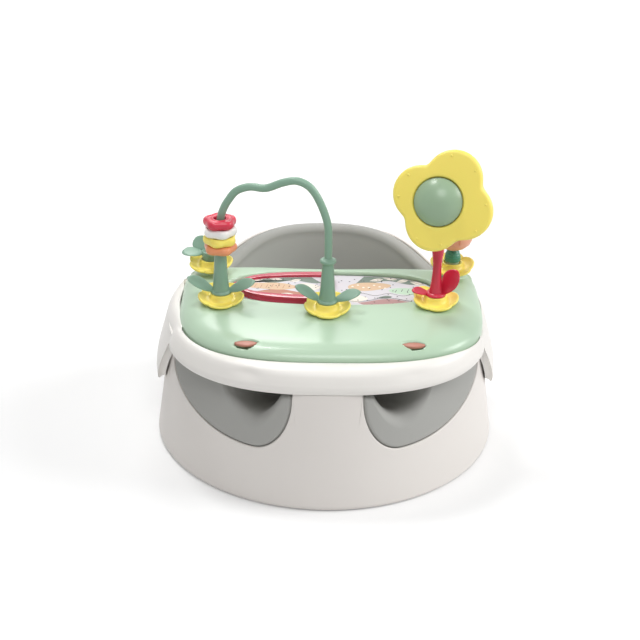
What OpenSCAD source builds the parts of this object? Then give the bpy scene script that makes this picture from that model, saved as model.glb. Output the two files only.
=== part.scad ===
// Baby floor seat with a clip-on activity tray.
// Millimetres. Origin on the floor under the middle of the base; the child faces -Y, +Z is up.

/* [Outer shell] */
// Radius of the round base where it stands on the floor
base_r = 195; // [185:1:205]
// Inward lean of the shell wall, in mm for each mm of height
wall_lean = 0.135; // [0.11:0.005:0.15]
// Wall thickness of the hard shell
shell_wall = 3.2; // [2.4:0.2:4]
// Height of the shell's rim at the back
back_h = 179; // [172:1:190]
// Height of the shell's rim at the two sides, which carry the tray
side_h = 143; // [138:1:148]
// How far the pommel between the legs stays below the sides
pommel_drop = 11.3; // [9:0.1:14]
// Where the rim starts to rise to the back, behind the middle
rise_start = 93; // [90:1:98]
// Where the rim reaches its full height, behind the middle
rise_end = 166; // [158:1:172]

/* [Leg openings] */
// Sideways place of an opening's lowest point
leg_x = 80; // [74:1:86]
// Height of an opening's lowest point
leg_z = 64; // [58:1:72]
// Width of an opening from its lowest point to the pommel
leg_inner = 43; // [38:1:46]
// Width of an opening from its lowest point to its outer side
leg_outer = 89; // [80:1:92]
// Height at which an opening's inner curve runs upright
leg_inner_rise = 60; // [50:1:66]
// Height at which an opening's outer curve runs upright
leg_outer_rise = 46; // [40:1:56]
// Lowest height of the leg channel in the soft seat
channel_z = 97; // [90:1:106]
// How wide the leg channel spreads as it rises
channel_spread = 5.5; // [5:0.1:6.2]

/* [Seat insert] */
// Height of the underside of the soft seat
insert_bottom = 34; // [28:1:40]
// Height of the seat's floor inside the bowl
seat_floor = 54; // [48:1:60]
// Radius of the flat floor inside the bowl
seat_floor_r = 84; // [76:1:92]
// Radius of the bowl at its mouth, at the sides and back
bowl_r = 149; // [144:1:151]
// Distance of the pommel's inner face from the middle
bowl_front = 90; // [84:1:98]
// How far the soft backrest stands above the hard shell
backrest_extra = 6; // [3:1:10]
// Rounding of the soft rim
rim_round = 7; // [4:0.5:8]

/* [Base plate] */
// Thickness of the base plate
plate_t = 3; // [2.4:0.2:4]
// Height of the rubber feet under the plate
foot_h = 3; // [2:0.5:4]
// Radius of a rubber foot
foot_r = 14; // [10:1:18]
// Distance of a rubber foot from the middle
foot_ring = 150; // [130:1:158]
// Distance of a base screw from the middle
screw_ring = 174; // [172:1:176]
// Core radius of a base screw
screw_r = 2; // [1.5:0.1:2.4]
// Radius of the ring that carries the soft seat
plinth_r = 96; // [80:1:104]

/* [Tray base] */
// How far the tray's outer lip reaches past the shell at the sides
lip_side = 6.7; // [6:0.1:8]
// How far the outer lip reaches past the shell in front
lip_ahead = 2.2; // [1.5:0.1:4]
// Height of the lip's top edge over the shell's sides
lip_rise = 13; // [11:0.5:15]
// Wall thickness of both trays
tray_wall = 3; // [2.4:0.2:3.6]
// Half length of a side wing along the tray
wing_half = 45; // [34:1:52]
// How far a side wing hangs below the shell's side rim
wing_drop = 79; // [65:1:85]

/* [Activity tray] */
// How far the green tray sits to the right of the middle
toy_x = 5; // [0:0.5:5]
// Width of the lip beside the green tray
side_band = 12.5; // [12.5:0.5:16]
// Width of the lip in front of the green tray
front_band = 28; // [26:0.5:32]
// Place of the tray's rear edge in the middle
tray_rear = 63; // [60:1:66]
// Height of the green tray's top over the shell's sides
tray_rise = 26; // [23:0.5:29]
// Half length of the card well
well_half = 117; // [110:1:122]
// Half width of the card well
well_half_w = 44; // [40:1:45]
// Middle of the card well and hinge of the flip page, to the right of the middle
well_x = 6; // [4:1:9]
// Middle of the card well behind the tray's middle
well_y = 7; // [5:1:9]
// Depth of the card well
well_depth = 5.5; // [4:0.5:7]
// Sideways place of the two latches
latch_x = 88; // [78:1:98]
// Width of a latch tongue
latch_w = 24; // [18:1:28]
// Travel of a latch when it is pressed
latch_travel = 3; // [2:0.5:4]

/* [Toy stations] */
// Distance of the left front station from the green tray's half width
left_in = 52; // [49:1:56]
// Distance of the right front station from the green tray's half width
right_in = 49; // [46:1:52]
// Place of the two front stations along Y
front_y = -33; // [-38:1:-30]
// Place of the middle station along Y
mid_y = -54; // [-60:1:-52]
// Distance of the left rear station from the green tray's half width
rear_left_in = 35; // [32:1:40]
// Distance of the right rear station from the green tray's half width
rear_right_in = 23; // [20:1:28]
// Place of the two rear stations along Y
rear_y = 50; // [46:1:53]
// Height of the boss that a station stands on
boss_h = 4; // [2:0.5:6]
// How much higher the two rear bosses stand
rear_lift = 4; // [2:0.5:6]
// Outer radius of the yellow petals
petal_r = 25; // [20:0.5:27]
// Thickness of the petals and leaves
petal_t = 3; // [2:0.2:4]
// Radius of the peg that holds a station in its boss
peg_r = 5; // [4:0.2:6]

/* [Bead wire] */
// Radius of the bead wire
wire_r = 4.2; // [3.5:0.1:4.6]
// Height of the stem's top, where the beads rest
stem_h = 229; // [222:1:236]
// Height of the middle stem's top
mid_stem_h = 232; // [222:1:240]
// Outer radius of a bead
bead_r = 18; // [15:0.5:20]
// Bore radius of a bead
bead_bore = 5.7; // [5.4:0.1:6]
// Height of one bead
bead_h = 9.6; // [8:0.2:10]

/* [Flower] */
// Height of the flower's hub on its stem
hub_z = 291; // [280:1:296]
// Distance from the stem's axis to the middle of the flower
flower_reach = 20; // [19:0.5:24]
// Thickness of the flower
flower_t = 15; // [10:1:17]
// Upward tilt of the flower's face, in degrees
flower_tilt = 18; // [10:1:24]
// Turn of the flower's face to the left, in degrees
flower_turn = 13; // [0:1:16]
// Radius of the round middle of the flower
dome_r = 25.5; // [22:0.5:29]
// Height of the round middle
dome_h = 12; // [8:0.5:15]

/* [Flip page] */
// Length of the page from its hinge to the end of the frame
page_l = 105; // [98:1:107]
// Half width of the page
page_half_w = 40; // [34:1:41]
// Thickness of the page's frame
page_t = 7.5; // [6:0.5:9]
// Width of the bar round the page
page_bar = 6.5; // [5:0.5:9]
// Radius of the hinge pin
pin_r = 1.5; // [1.2:0.1:1.8]

/* [Hidden] */

gap = 0.3;              // running clearance between pieces that move
snug = 0.15;            // clearance of a peg in its bore
seam = 0.5;             // clearance of the soft seat in the hard shell
wing_gap = 3.2;         // clearance of a side wing's root over the shell
lift = 1.5;             // height of the shell's lower edge over the floor
foot_round = 5;         // height of the rounded foot of the shell
base_screws_n = 6;
feet_n = 4;
full = 400;             // longer than the whole object
arc_n = 96;             // facets of a large round shape
outline_n = 72;         // points of a tray's outline
plate_low = foot_h;
plate_top = plate_low + plate_t;
pommel_h = side_h - pommel_drop;
lip_top = side_h + lip_rise;
tray_top = side_h + tray_rise;
wing_z = side_h - wing_drop;
tray_low = side_h + gap;              // underside of the tray base
tray_floor = tray_low + tray_wall;    // top of the tray base's floor
boss_top = tray_top + boss_h;
petal_top = boss_top + petal_t;
peg_low = tray_top - 8;               // lower end of the pegs, at the foot of the bosses
well_floor = tray_top - well_depth;
card_t = 0.8;
rear_r = 470;                         // radius of the hollow rear edge of both trays
trim = 6;                             // how far the tray base shows behind the green tray

mint = [0.78, 0.89, 0.78];
teal = [0.55, 0.69, 0.61];
sun = [0.99, 0.89, 0.40];
rasp = [0.79, 0.20, 0.31];
coral = [0.91, 0.56, 0.43];
shell_white = [0.94, 0.93, 0.92];
grey = [0.66, 0.67, 0.65];
deep_green = [0.22, 0.56, 0.43];

// --- helpers ---------------------------------------------------------------------------

function smooth(t) = let (c = min(1, max(0, t))) c * c * (3 - 2 * c);
function mix(a, b, t) = a + (b - a) * t;
function shell_r(z) = base_r - wall_lean * z + 0.9 * exp(-z / 30) - 0.9;
function flat(lists) = [for (part = lists) each part];

// Height of the shell's rim at a place y along the seat's side view
function rim_z(y) = side_h + (back_h - side_h) * smooth((y - rise_start) / (rise_end - rise_start));

// Point of a rounded outline: a superellipse whose front and rear halves differ
function round_point(t, a, front, rear, n, rear_n) =
    let (c = cos(t), s = sin(t), b = s < 0 ? front : rear, k = s < 0 ? n : rear_n)
    [a * sign(c) * pow(abs(c), 2 / k), b * sign(s) * pow(abs(s), 2 / k)];

// Outline of both trays; inset shrinks it evenly
function tray_outline(half_w, front, rear, n, rear_n, inset) =
    [for (i = [0 : outline_n - 1])
        round_point(360 * (i + 0.5) / outline_n, half_w - inset, front - inset, rear - inset, n, rear_n)];
lip_n = 2.5;            // how square the front corners of the lip are; 2 is an ellipse
toy_n = 3;              // the same for the green tray
lip_half_w = shell_r(side_h) + lip_side;
lip_front = shell_r(side_h) + lip_ahead;
lip_rear = 88;          // how far back the lip's rear corners reach
tray_half_w = lip_half_w - side_band;
tray_front = lip_front - front_band;
left_x = tray_half_w - left_in;
right_x = tray_half_w - right_in;
rear_left_x = tray_half_w - rear_left_in;
rear_right_x = tray_half_w - rear_right_in;
function lip_outline(inset) = tray_outline(lip_half_w, lip_front, lip_rear, lip_n, 3.6, inset);
function toy_outline(inset) =
    [for (p = tray_outline(tray_half_w, tray_front, lip_rear - 10, toy_n, 6, inset)) p + [toy_x, 0]];

// Solid between equal rings of points; an open one is closed by its first and last ring
module skin(rings, loop = false) {
    n = len(rings[0]);
    m = len(rings);
    sides = [for (i = [0 : m - (loop ? 1 : 2)]) for (j = [0 : n - 1])
        let (k = (i + 1) % m, e = (j + 1) % n, a = i * n + j, b = i * n + e, c = k * n + e, d = k * n + j)
        each [[a, c, b], [a, d, c]]];
    ends = loop ? [] : [[for (j = [0 : n - 1]) j], [for (j = [n - 1 : -1 : 0]) (m - 1) * n + j]];
    polyhedron(points = flat(rings), faces = concat(sides, ends), convexity = 6);
}

// A flat outline raised to a height, as a ring for skin()
function raised(points, z) = [for (p = points) [p[0], p[1], z]];

// What lies behind the hollow rear edge, from the given place on
module behind(y) {
    translate([0, y + rear_r, -1]) cylinder(r = rear_r, h = full, $fn = 180);
}

// --- hard shell ------------------------------------------------------------------------

shell_zs = [foot_round, 20, 40, 70, 100, 130, 160];
foot_inset = 2.5;       // how far the rounded foot draws in at the floor
function shell_profile(inset, top) = concat(
    [[base_r - inset - foot_inset, lift], [base_r - inset - 0.7, lift + 1.5]],
    [for (z = shell_zs) [shell_r(z) - inset, z]],
    [[shell_r(top) - inset, top]]);

// Side view of everything under the rim
module rim_side_view() {
    rise = [for (i = [0 : 14]) let (y = mix(rise_start, rise_end, i / 14)) [y, rim_z(y)]];
    polygon(concat([[-full, -1], [-full, side_h]], rise, [[full, back_h], [full, -1]]));
}

// Front view of one leg opening, to the right of the middle
leg_steps = 10;
module leg_view(shrink = 0) {
    top = back_h;
    inner = [for (i = [0 : leg_steps]) let (t = 90 * i / leg_steps)
        [leg_x - (leg_inner - shrink) * cos(t), leg_z + shrink + (leg_inner_rise - shrink) * (1 - sin(t))]];
    outer = [for (i = [1 : leg_steps]) let (t = 90 * i / leg_steps)
        [leg_x + (leg_outer - shrink) * sin(t), leg_z + shrink + (leg_outer_rise - shrink) * (1 - cos(t))]];
    polygon(concat([[leg_x - leg_inner + shrink, top]], inner, outer, [[leg_x + leg_outer - shrink, top]]));
}

module leg_cutters(shrink = 0) {
    for (side = [-1, 1]) scale([side, 1, 1])
        translate([0, -20, 0]) rotate([90, 0, 0]) linear_extrude(full) leg_view(shrink);
}

module outer_shell() color(shell_white) {
    post_top = plate_top + 22;
    outside = shell_profile(0, back_h);
    inside = shell_profile(shell_wall, back_h);
    difference() {
        union() {
            difference() {
                rotate_extrude($fn = arc_n)
                    polygon(concat(outside, [for (k = [len(inside) - 1 : -1 : 0]) inside[k]]));
                translate([0, 0, pommel_h]) translate([-full / 2, -full, 0]) cube([full, full - 20, full]);
                leg_cutters();
            }
            for (i = [0 : base_screws_n - 1]) rotate([0, 0, 360 * (i + 0.5) / base_screws_n])
                intersection() {
                    union() {
                        translate([0, -screw_ring, plate_top])
                            cylinder(r = screw_r + 4, h = post_top - plate_top, $fn = 32);
                        translate([-1.5, -base_r, plate_top])
                            cube([3, base_r - screw_ring, post_top - plate_top]);
                    }
                    cylinder(r = shell_r(post_top) - shell_wall / 2, h = full, $fn = arc_n);
                }
        }
        for (i = [0 : base_screws_n - 1]) rotate([0, 0, 360 * (i + 0.5) / base_screws_n])
            translate([0, -screw_ring, -1]) cylinder(r = screw_r, h = plate_top + 17, $fn = 24);
        difference() {
            translate([-full, -full, side_h - 60]) cube([2 * full, 2 * full, full]);
            rotate([90, 0, 90]) translate([0, 0, -full]) linear_extrude(2 * full) rim_side_view();
        }
    }
}

module base_plate() color(shell_white) {
    rib_t = 2.5;
    difference() {
        union() {
            translate([0, 0, plate_low])
                cylinder(r = base_r - foot_inset - shell_wall - gap, h = plate_t, $fn = arc_n);
            translate([0, 0, plate_low]) difference() {
                cylinder(r = plinth_r, h = insert_bottom - plate_low, $fn = arc_n);
                translate([0, 0, -1]) cylinder(r = plinth_r - rib_t, h = full, $fn = arc_n);
            }
        }
        for (i = [0 : base_screws_n - 1]) rotate([0, 0, 360 * (i + 0.5) / base_screws_n])
            translate([0, -screw_ring, -1]) cylinder(r = screw_r + snug, h = full, $fn = 24);
    }
}

module base_screws() color("silver") {
    head_h = 1.6;
    for (i = [0 : base_screws_n - 1]) rotate([0, 0, 360 * (i + 0.5) / base_screws_n])
        translate([0, -screw_ring, 0]) {
            translate([0, 0, plate_low - head_h]) cylinder(r = screw_r + 2, h = head_h, $fn = 24);
            translate([0, 0, plate_low - head_h]) cylinder(r = screw_r - 0.05, h = 16, $fn = 24);
        }
}

module foot_pads() color("dimgray") {
    for (i = [0 : feet_n - 1]) rotate([0, 0, 360 * (i + 0.5) / feet_n])
        translate([0, foot_ring, 0]) cylinder(r = foot_r, h = foot_h, $fn = 48);
}

// --- soft seat -------------------------------------------------------------------------

insert_n = 72;
soft_rise = lip_rear + 2;   // where the soft rim starts to stand over the hard one, behind the tray
// Height of the soft rim at an angle from the front
function insert_rim(a) =
    let (r = a < 90 ? shell_r(100) : shell_r(back_h) - shell_wall - seam, x = abs(r * sin(a)), y = -r * cos(a),
        back = rim_z(y) - 2 + (backrest_extra + 2) * smooth((y - soft_rise) / 20),
        body = y < 0 && x < leg_x ? pommel_h - 3 : back,
        channel = channel_z + pow((x - leg_x) / channel_spread, 2))
    y < 0 ? min(body, channel) : body;
function bowl_at(a) = mix(bowl_front, bowl_r, smooth((a - 30) / 50));
// One upright section of the seat: under, outside, over the rim, inside and down to the floor
function insert_section(a) =
    let (top = insert_rim(a), out = shell_r(top) - shell_wall - seam, low = insert_bottom,
        r_in = bowl_at(a), f = rim_round, c = rim_round * 0.3, knee = seat_floor + 22)
    [[seat_floor_r + 40, low], [shell_r(60) - shell_wall - seam, low + 26],
        [mix(shell_r(60) - shell_wall - seam, out, 0.5), mix(low + 26, top - f, 0.5)],
        [out, top - f], [out - c, top - c], [out - f, top],
        [mix(out, r_in, 0.5), top], [r_in + f, top], [r_in + c, top - c], [r_in, top - f],
        [mix(r_in, seat_floor_r, 0.3), mix(top - f, seat_floor, 0.5)],
        [mix(r_in, seat_floor_r, 0.65), mix(top - f, seat_floor, 0.82)],
        [seat_floor_r - 6, seat_floor]];
function insert_angle(j) = 360 * j / insert_n;
function fold(a) = a > 180 ? 360 - a : a;
function insert_rings() =
    [for (k = [0 : len(insert_section(0)) - 1])
        [for (j = [0 : insert_n - 1])
            let (a = insert_angle(j), p = insert_section(fold(a))[k]) [p[0] * sin(a), -p[0] * cos(a), p[1]]]];

module seat_insert() color(grey) {
    skin(insert_rings());
}

// --- tray base -------------------------------------------------------------------------

skirt_low = pommel_h + gap;
skirt_end = -48;        // where the skirt gives way to the shell's rim
// Rounded body under the lip; inset gives the hollow inside it
lip_rows = [[0, skirt_low], [-1, skirt_low + 7], [1.5, skirt_low + 15], [5, lip_top - 3], [8, lip_top]];
module lip_body(inset, drop) {
    skin([for (row = lip_rows) raised(lip_outline(inset + row[0]), row[1] - drop)]);
}

// One side wing, a hanging tab that follows the shell outside
wing_round = 26;        // corner radius of a wing's lower end
wing_y = 8;             // middle of a wing along the tray
module wing_view() {
    corner = [for (i = [0 : 8]) let (t = 90 * i / 8)
        [wing_half - wing_round * (1 - sin(t)), wing_z + wing_round * (1 - cos(t))]];
    mirrored = [for (i = [8 : -1 : 0]) [-corner[i][0], corner[i][1]]];
    translate([wing_y, 0])
        polygon(concat(corner, [[wing_half + 4, tray_floor], [-wing_half - 4, tray_floor]], mirrored));
}

wing_in = shell_r(skirt_low) + wing_gap;    // inner radius at a wing's root
// Section of a wing, which flares out and turns in at its end: distance from the shell, and height
// over the wing's lower end
wing_out = [[1, 2.5], [2.6, 0], [5.7, 3], [8.8, 10], [10.9, 20], [11.4, 29], [11, 41], [9.2, 54],
    [7.3, 67], [5.7, 78]];
wing_back = [[5.8, 54], [7.5, 41], [8, 29], [7.1, 20], [4.5, 11]];
function off_shell(rows) = [for (p = rows) let (z = wing_z + p[1]) [shell_r(z) + p[0], z]];
module wing(side) {
    root = [[wing_in + 1, tray_floor], [wing_in, tray_floor], [wing_in, skirt_low + 2]];
    intersection() {
        rotate_extrude($fn = arc_n) polygon(concat(off_shell(wing_out), root, off_shell(wing_back)));
        rotate([90, 0, 90]) translate([0, 0, side > 0 ? 0 : -full]) linear_extrude(full) wing_view();
    }
}

module tray_base() color(shell_white) {
    recess = gap + 1;
    difference() {
        union() {
            difference() {
                lip_body(0, 0);
                difference() {
                    lip_body(tray_wall, tray_wall);
                    translate([0, 0, tray_low]) linear_extrude(full) polygon(toy_outline(-recess - tray_wall));
                }
            }
            wing(-1);
            wing(1);
        }
        translate([0, 0, tray_floor]) linear_extrude(full) polygon(toy_outline(-recess));
        intersection() {
            translate([-full, skirt_end, -1]) cube([2 * full, full, tray_low + 1]);
            cylinder(r = shell_r(skirt_low) + gap, h = full, $fn = arc_n);
        }
        behind(tray_rear + trim);
    }
}

// --- activity tray ---------------------------------------------------------------------

mint_low = tray_floor + gap;
// Rounded top of the green tray: how far each row lies inside the outline, and its height
dome_rows = [[0, mint_low], [0, lip_top - 1], [2, lip_top + 3], [6.5, tray_top - 6], [14, tray_top - 2],
    [27, tray_top]];
module dome_body(inset, drop) {
    skin([for (row = dome_rows) raised(toy_outline(inset + row[0]), row[1] - drop)]);
}

function eye_outline(half_l, half_w, n = 2.6, steps = 64) =
    [for (i = [0 : steps - 1]) round_point(360 * (i + 0.5) / steps, half_l, half_w, half_w, n, n)];

screw_head_r = peg_r + 2;
stations = [[-left_x, front_y], [0, mid_y], [right_x, front_y], [-rear_left_x, rear_y], [rear_right_x, rear_y]];

boss_low = peg_low - 3;                // foot of the bosses, under the tray's top
function lift_of(i) = i < 3 ? 0 : rear_lift;

latch_y = -tray_front + 22;     // middle of a tongue's visible leaf shape
latch_z = tray_top - 6;  // underside of a latch tongue
latch_mid = 2.2;        // middle between the two tongues
latch_t = 3;            // thickness of a tongue
latch_l = 24;           // length of a tongue behind the middle of its leaf shape
latch_d = 4.7;          // half depth of the leaf shape
latch_end = latch_y + latch_l;
pocket_front = latch_d + 3;

// Leaf shape between two arcs, its ends at the left and the right
function leaf_arc(half_l, depth) = [for (i = [-8 : 8]) let (x = i / 8) [half_l * x, depth * (1 - x * x)]];
function leaf_view(half_l, front, rear) = concat(leaf_arc(half_l, -front),
    [for (k = [15 : -1 : 1]) leaf_arc(half_l, rear)[k]]);

// Slot for a tongue with the room of its travel, and the pocket that shows it from above
module latch_slot(side) {
    translate([latch_mid + side * latch_x, latch_y, latch_z - gap]) {
        translate([-latch_w / 2 - gap, 0, 0])
            cube([latch_w + 2 * gap, latch_l + latch_travel + gap, latch_t + 2 * gap]);
        linear_extrude(20) polygon(leaf_view(latch_w / 2 + 0.8, pocket_front, latch_d));
    }
}

// Block under the tray's top that guides a tongue
module latch_guide(side) {
    guide_t = 2;
    rim = gap + guide_t;
    roof = 0.5;
    translate([latch_mid + side * latch_x - latch_w / 2 - rim, latch_y, latch_z - rim]) {
        translate([0, 5, 0]) cube([latch_w + 2 * rim, latch_l - 5 - gap, rim + latch_t + gap + roof]);
        translate([0, -4, 0]) cube([latch_w + 2 * rim, 10, guide_t]);
    }
}

lug_w = 5;
pin_z = well_floor + card_t + page_t + pin_r + 0.6;
module hinge_lug(y) {
    translate([-lug_w / 2 - 0.5, y, well_floor - 1]) cube([lug_w + 1, 4, pin_z - well_floor + 1]);
    translate([0, y + 4, pin_z]) rotate([90, 0, 0]) cylinder(r = lug_w / 2 + 0.5, h = 4, $fn = 32);
}

page_hinge_half = 26;
module activity_tray() color(mint) {
    difference() {
        union() {
            difference() {
                union() {
                    difference() {
                        dome_body(0, 0);
                        difference() {
                            dome_body(tray_wall, tray_wall);
                            behind(tray_rear - tray_wall);
                        }
                    }
                    intersection() {
                        translate([well_x, well_y, well_floor - tray_wall])
                            linear_extrude(well_depth + tray_wall - 0.5)
                            polygon(eye_outline(well_half + tray_wall, well_half_w + tray_wall));
                        dome_body(1, 1);
                    }
                    for (i = [0 : len(stations) - 1]) translate([stations[i][0], stations[i][1], boss_low])
                        cylinder(r1 = 19.5, r2 = 14, h = boss_top + lift_of(i) - boss_low, $fn = 48);
                }
                translate([well_x, well_y, well_floor]) linear_extrude(full)
                    polygon(eye_outline(well_half, well_half_w));
                behind(tray_rear);
            }
            for (y = [-page_hinge_half - 4 - gap, page_hinge_half + gap])
                translate([well_x, well_y, 0]) hinge_lug(y);
            for (side = [-1, 1]) latch_guide(side);
        }
        for (side = [-1, 1]) latch_slot(side);
        for (s = stations) translate([s[0], s[1], -1]) {
            cylinder(r = peg_r + snug, h = full, $fn = 40);
            cylinder(r = screw_head_r + gap, h = peg_low + 1, $fn = 40);
        }
        translate([well_x, full / 2, pin_z]) rotate([90, 0, 0]) cylinder(r = pin_r, h = full, $fn = 24);
    }
}

module print_card() color([0.85, 0.83, 0.86]) {
    translate([well_x, well_y, well_floor]) linear_extrude(card_t) difference() {
        polygon(eye_outline(well_half - 1, well_half_w - 1));
        square([lug_w + 2, 2 * well_half_w - 6], center = true);
        for (s = [-1, 1]) translate([0, s * (page_hinge_half + 2)]) square([lug_w + 2, 8], center = true);
    }
}

module latch(side) color(coral) {
    translate([latch_mid + side * latch_x, latch_y, latch_z]) linear_extrude(latch_t)
        polygon(concat(leaf_arc(latch_w / 2, -latch_d), [[latch_w / 2, latch_l], [-latch_w / 2, latch_l]]));
}
module latch_left() latch(-1);
module latch_right() latch(1);

// --- flip page -------------------------------------------------------------------------

page_low = well_floor + card_t + gap;
page_end_n = 2.6;
hinge_x = lug_w / 2 + 1.4;      // edge of the page's frame beside its hinge
page_window = 7 + page_bar;     // how far the card's window lies inside the frame's outline
function page_outline(inset) = let (l = page_l - inset, w = page_half_w - inset)
    [for (i = [0 : 24]) round_point(90 + 180 * i / 24, l, w, w, page_end_n, page_end_n)];
// Window in the frame, or with a grip the card that is held in it
module window_view(grip = 0) {
    polygon([for (p = page_outline(page_window - grip)) p + [-page_bar, 0]]);
}

module page_frame() color(rasp) {
    knob_r = 6.5;
    knuckle = 12;
    translate([well_x, well_y, 0]) difference() {
        union() {
            translate([-hinge_x, 0, page_low]) linear_extrude(page_t) polygon(page_outline(hinge_x));
            translate([-page_l - 1, 0, page_low]) cylinder(r = knob_r, h = page_t, $fn = 40);
            for (y = [-page_hinge_half, page_hinge_half - knuckle]) {
                translate([-hinge_x - 2, y, pin_z - 3.6]) cube([hinge_x + 2, knuckle, 3.6]);
                translate([0, y + knuckle, pin_z]) rotate([90, 0, 0])
                    cylinder(r = lug_w / 2 + 0.5, h = knuckle, $fn = 32);
            }
        }
        translate([0, full / 2, pin_z]) rotate([90, 0, 0]) cylinder(r = pin_r + snug, h = full, $fn = 24);
        translate([-page_l - 1, 0, 0]) cylinder(r = 2.2, h = full, $fn = 24);
        translate([-hinge_x, 0, 0]) linear_extrude(full) window_view();
    }
}

module page_card() color([0.9, 0.86, 0.8]) {
    board = 2;
    translate([well_x - hinge_x, well_y, page_low + (page_t - board) / 2])
        linear_extrude(board) window_view(-0.1);
}

module page_hinge_pin() color("silver") {
    half = page_hinge_half + 4 + gap;
    translate([well_x, well_y + half, pin_z]) rotate([90, 0, 0]) cylinder(r = pin_r, h = 2 * half, $fn = 24);
}

// --- toy stations ----------------------------------------------------------------------

petal_n = 5;            // petals round a station
petal_steps = 30;
// Height of a petal's upper face at radius share u and angle t
petal_flat = 0.55;      // share of the radius that lies flat
petal_rise = 6.2;       // height of a petal's tip
function petal_z(u, t) = petal_rise * pow(max(0, u - petal_flat) / (1 - petal_flat), 1.4)
    * (0.62 + 0.38 * cos(petal_n * t));
function petal_edge(t) = petal_r * (0.93 + 0.07 * cos(petal_n * t));
function petal_ring(u, drop, turn) = [for (j = [0 : petal_steps - 1])
    let (t = 360 * j / petal_steps, r = max(peg_r + snug, petal_edge(t) * u))
    [r * cos(t + turn), r * sin(t + turn), petal_z(u, t) - drop]];

module petals(i, turn) color(sun) {
    us = [0.1, petal_flat, 0.78, 1];
    under = [for (u = us) petal_ring(u, petal_t, turn)];
    over = [for (k = [len(us) - 1 : -1 : 0]) petal_ring(us[k], 0, turn)];
    translate([stations[i][0], stations[i][1], petal_top + lift_of(i)]) skin(concat(under, over), loop = true);
}
module petals_left() petals(0, -90);
module petals_centre() petals(1, -86);
module petals_right() petals(2, -76);
module petals_rear_left() petals(3, -70);
module petals_rear_right() petals(4, -60);

// Pointed oval leaf in its own plane, along +X from its root
leaf_t = 2.6;
module leaf(length, width) {
    side = [for (i = [0 : 12]) let (t = i / 12) [length * t, width / 2 * pow(sin(180 * pow(t, 0.9)), 0.55)]];
    linear_extrude(leaf_t) polygon(concat(side, [for (i = [11 : -1 : 1]) [side[i][0], -side[i][1]]]));
}

// Two leaves on a collar at the foot of a stem
collar_r = 11.4;
stem_foot_r = 9.4;
module leaf_pair(at, lengths, widths, rises, twist) {
    translate([at[0], at[1], petal_top]) difference() {
        union() {
            cylinder(r = collar_r, h = 7, $fn = 48);
            for (i = [0, 1]) rotate([0, 0, i * 180]) translate([collar_r - 3.5, 0, 3.4])
                rotate([twist[i], -rises[i], 0]) leaf(lengths[i], widths[i]);
        }
        translate([0, 0, -1]) cylinder(r = stem_foot_r + snug, h = full, $fn = 48);
    }
}
module leaves_left() color(teal) leaf_pair(stations[0], [33, 34], [17, 17], [30, 36], [22, -22]);
module leaves_centre() color(teal) leaf_pair(stations[1], [31, 33], [16, 16], [26, 38], [22, -22]);
module leaves_right() color(rasp) leaf_pair(stations[2], [25, 18], [22, 14], [60, 12], [40, -10]);

// Turned stem: straight foot through the leaf collar, then the given radii up to the top
module stem(at, rows, bore_r, bore_z, top_z) {
    translate([at[0], at[1], 0]) difference() {
        union() {
            rotate_extrude($fn = 64)
                polygon(concat([[0, petal_top], [stem_foot_r, petal_top]], rows, [[0, top_z]]));
            translate([0, 0, peg_low]) cylinder(r = peg_r, h = petal_top - peg_low + 1, $fn = 40);
        }
        if (bore_r > 0) translate([0, 0, bore_z]) cylinder(r = bore_r, h = full, $fn = 32);
        translate([0, 0, -1]) cylinder(r = screw_r, h = peg_low + 11, $fn = 24);
    }
}

function flared(foot, top, z0, z1, curve) = [for (i = [0 : 6]) let (t = i / 6)
    [mix(foot, top, pow(t, curve)), mix(z0, z1, t)]];

wire_socket = 12;       // depth to which the wire's ends sit in the stems
module stem_left() color(teal) {
    rows = flared(stem_foot_r, 6.4, petal_top + 8, stem_h, 0.7);
    stem(stations[0], rows, wire_r + snug, stem_h - wire_socket, stem_h);
}
module stem_centre() color(teal) {
    rows = concat(flared(stem_foot_r, 6, petal_top + 8, mid_stem_h - 6, 0.7),
        [[8.7, mid_stem_h - 5], [8.7, mid_stem_h - 2], [6, mid_stem_h]]);
    stem(stations[1], rows, wire_r + snug, mid_stem_h - wire_socket, mid_stem_h);
}

neck_r = 7;
waist_r = 4.8;
waist_z = 214;
module stem_right() color(rasp) {
    rows = [for (i = [0 : 12]) let (z = mix(petal_top + 7, hub_z - 8, i / 12),
        r = z < waist_z ? mix(waist_r, stem_foot_r, pow((waist_z - z) / (waist_z - petal_top), 2))
            : mix(waist_r, neck_r, smooth((z - waist_z) / 26))) [r, z]];
    difference() {
        union() {
            stem(stations[2], concat(rows, [[neck_r + 2, hub_z]]), 0, 0, hub_z + 6);
            at_flower() translate([0, 0, -flower_reach])
                cylinder(r = 8, h = flower_reach - flower_t / 2 - gap, $fn = 48);
        }
        at_flower() translate([0, 0, -flower_reach + 4]) cylinder(r = spindle_r, h = full, $fn = 32);
    }
}

// --- beads -----------------------------------------------------------------------------

// Route of the bead wire along its own upright plane: distance from the left stem, height
span = norm([left_x, mid_y - front_y]);
wire_top = 317;
wire_route = [[0, stem_h - wire_socket + 1], [0, 250], [0.8, 267], [4.2, 279], [9.5, 289], [18.5, 300.5],
    [33, 306.5], [51, 306.5], [69, 314], [84, wire_top], [98, 311], [109, 295], [span - 1.5, 272], [span, 252],
    [span, mid_stem_h - wire_socket + 1]];
wire_steps = 3;
function knot(i) = wire_route[min(len(wire_route) - 1, max(0, i))];
function spline(i, t) = let (a = knot(i - 1), b = knot(i), c = knot(i + 1), d = knot(i + 2))
    0.5 * (2 * b + (c - a) * t + (2 * a - 5 * b + 4 * c - d) * t * t + (3 * b - a - 3 * c + d) * t * t * t);
wire_path = concat(
    [for (i = [0 : len(wire_route) - 2]) for (k = [0 : wire_steps - 1]) spline(i, k / wire_steps)],
    [wire_route[len(wire_route) - 1]]);
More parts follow.
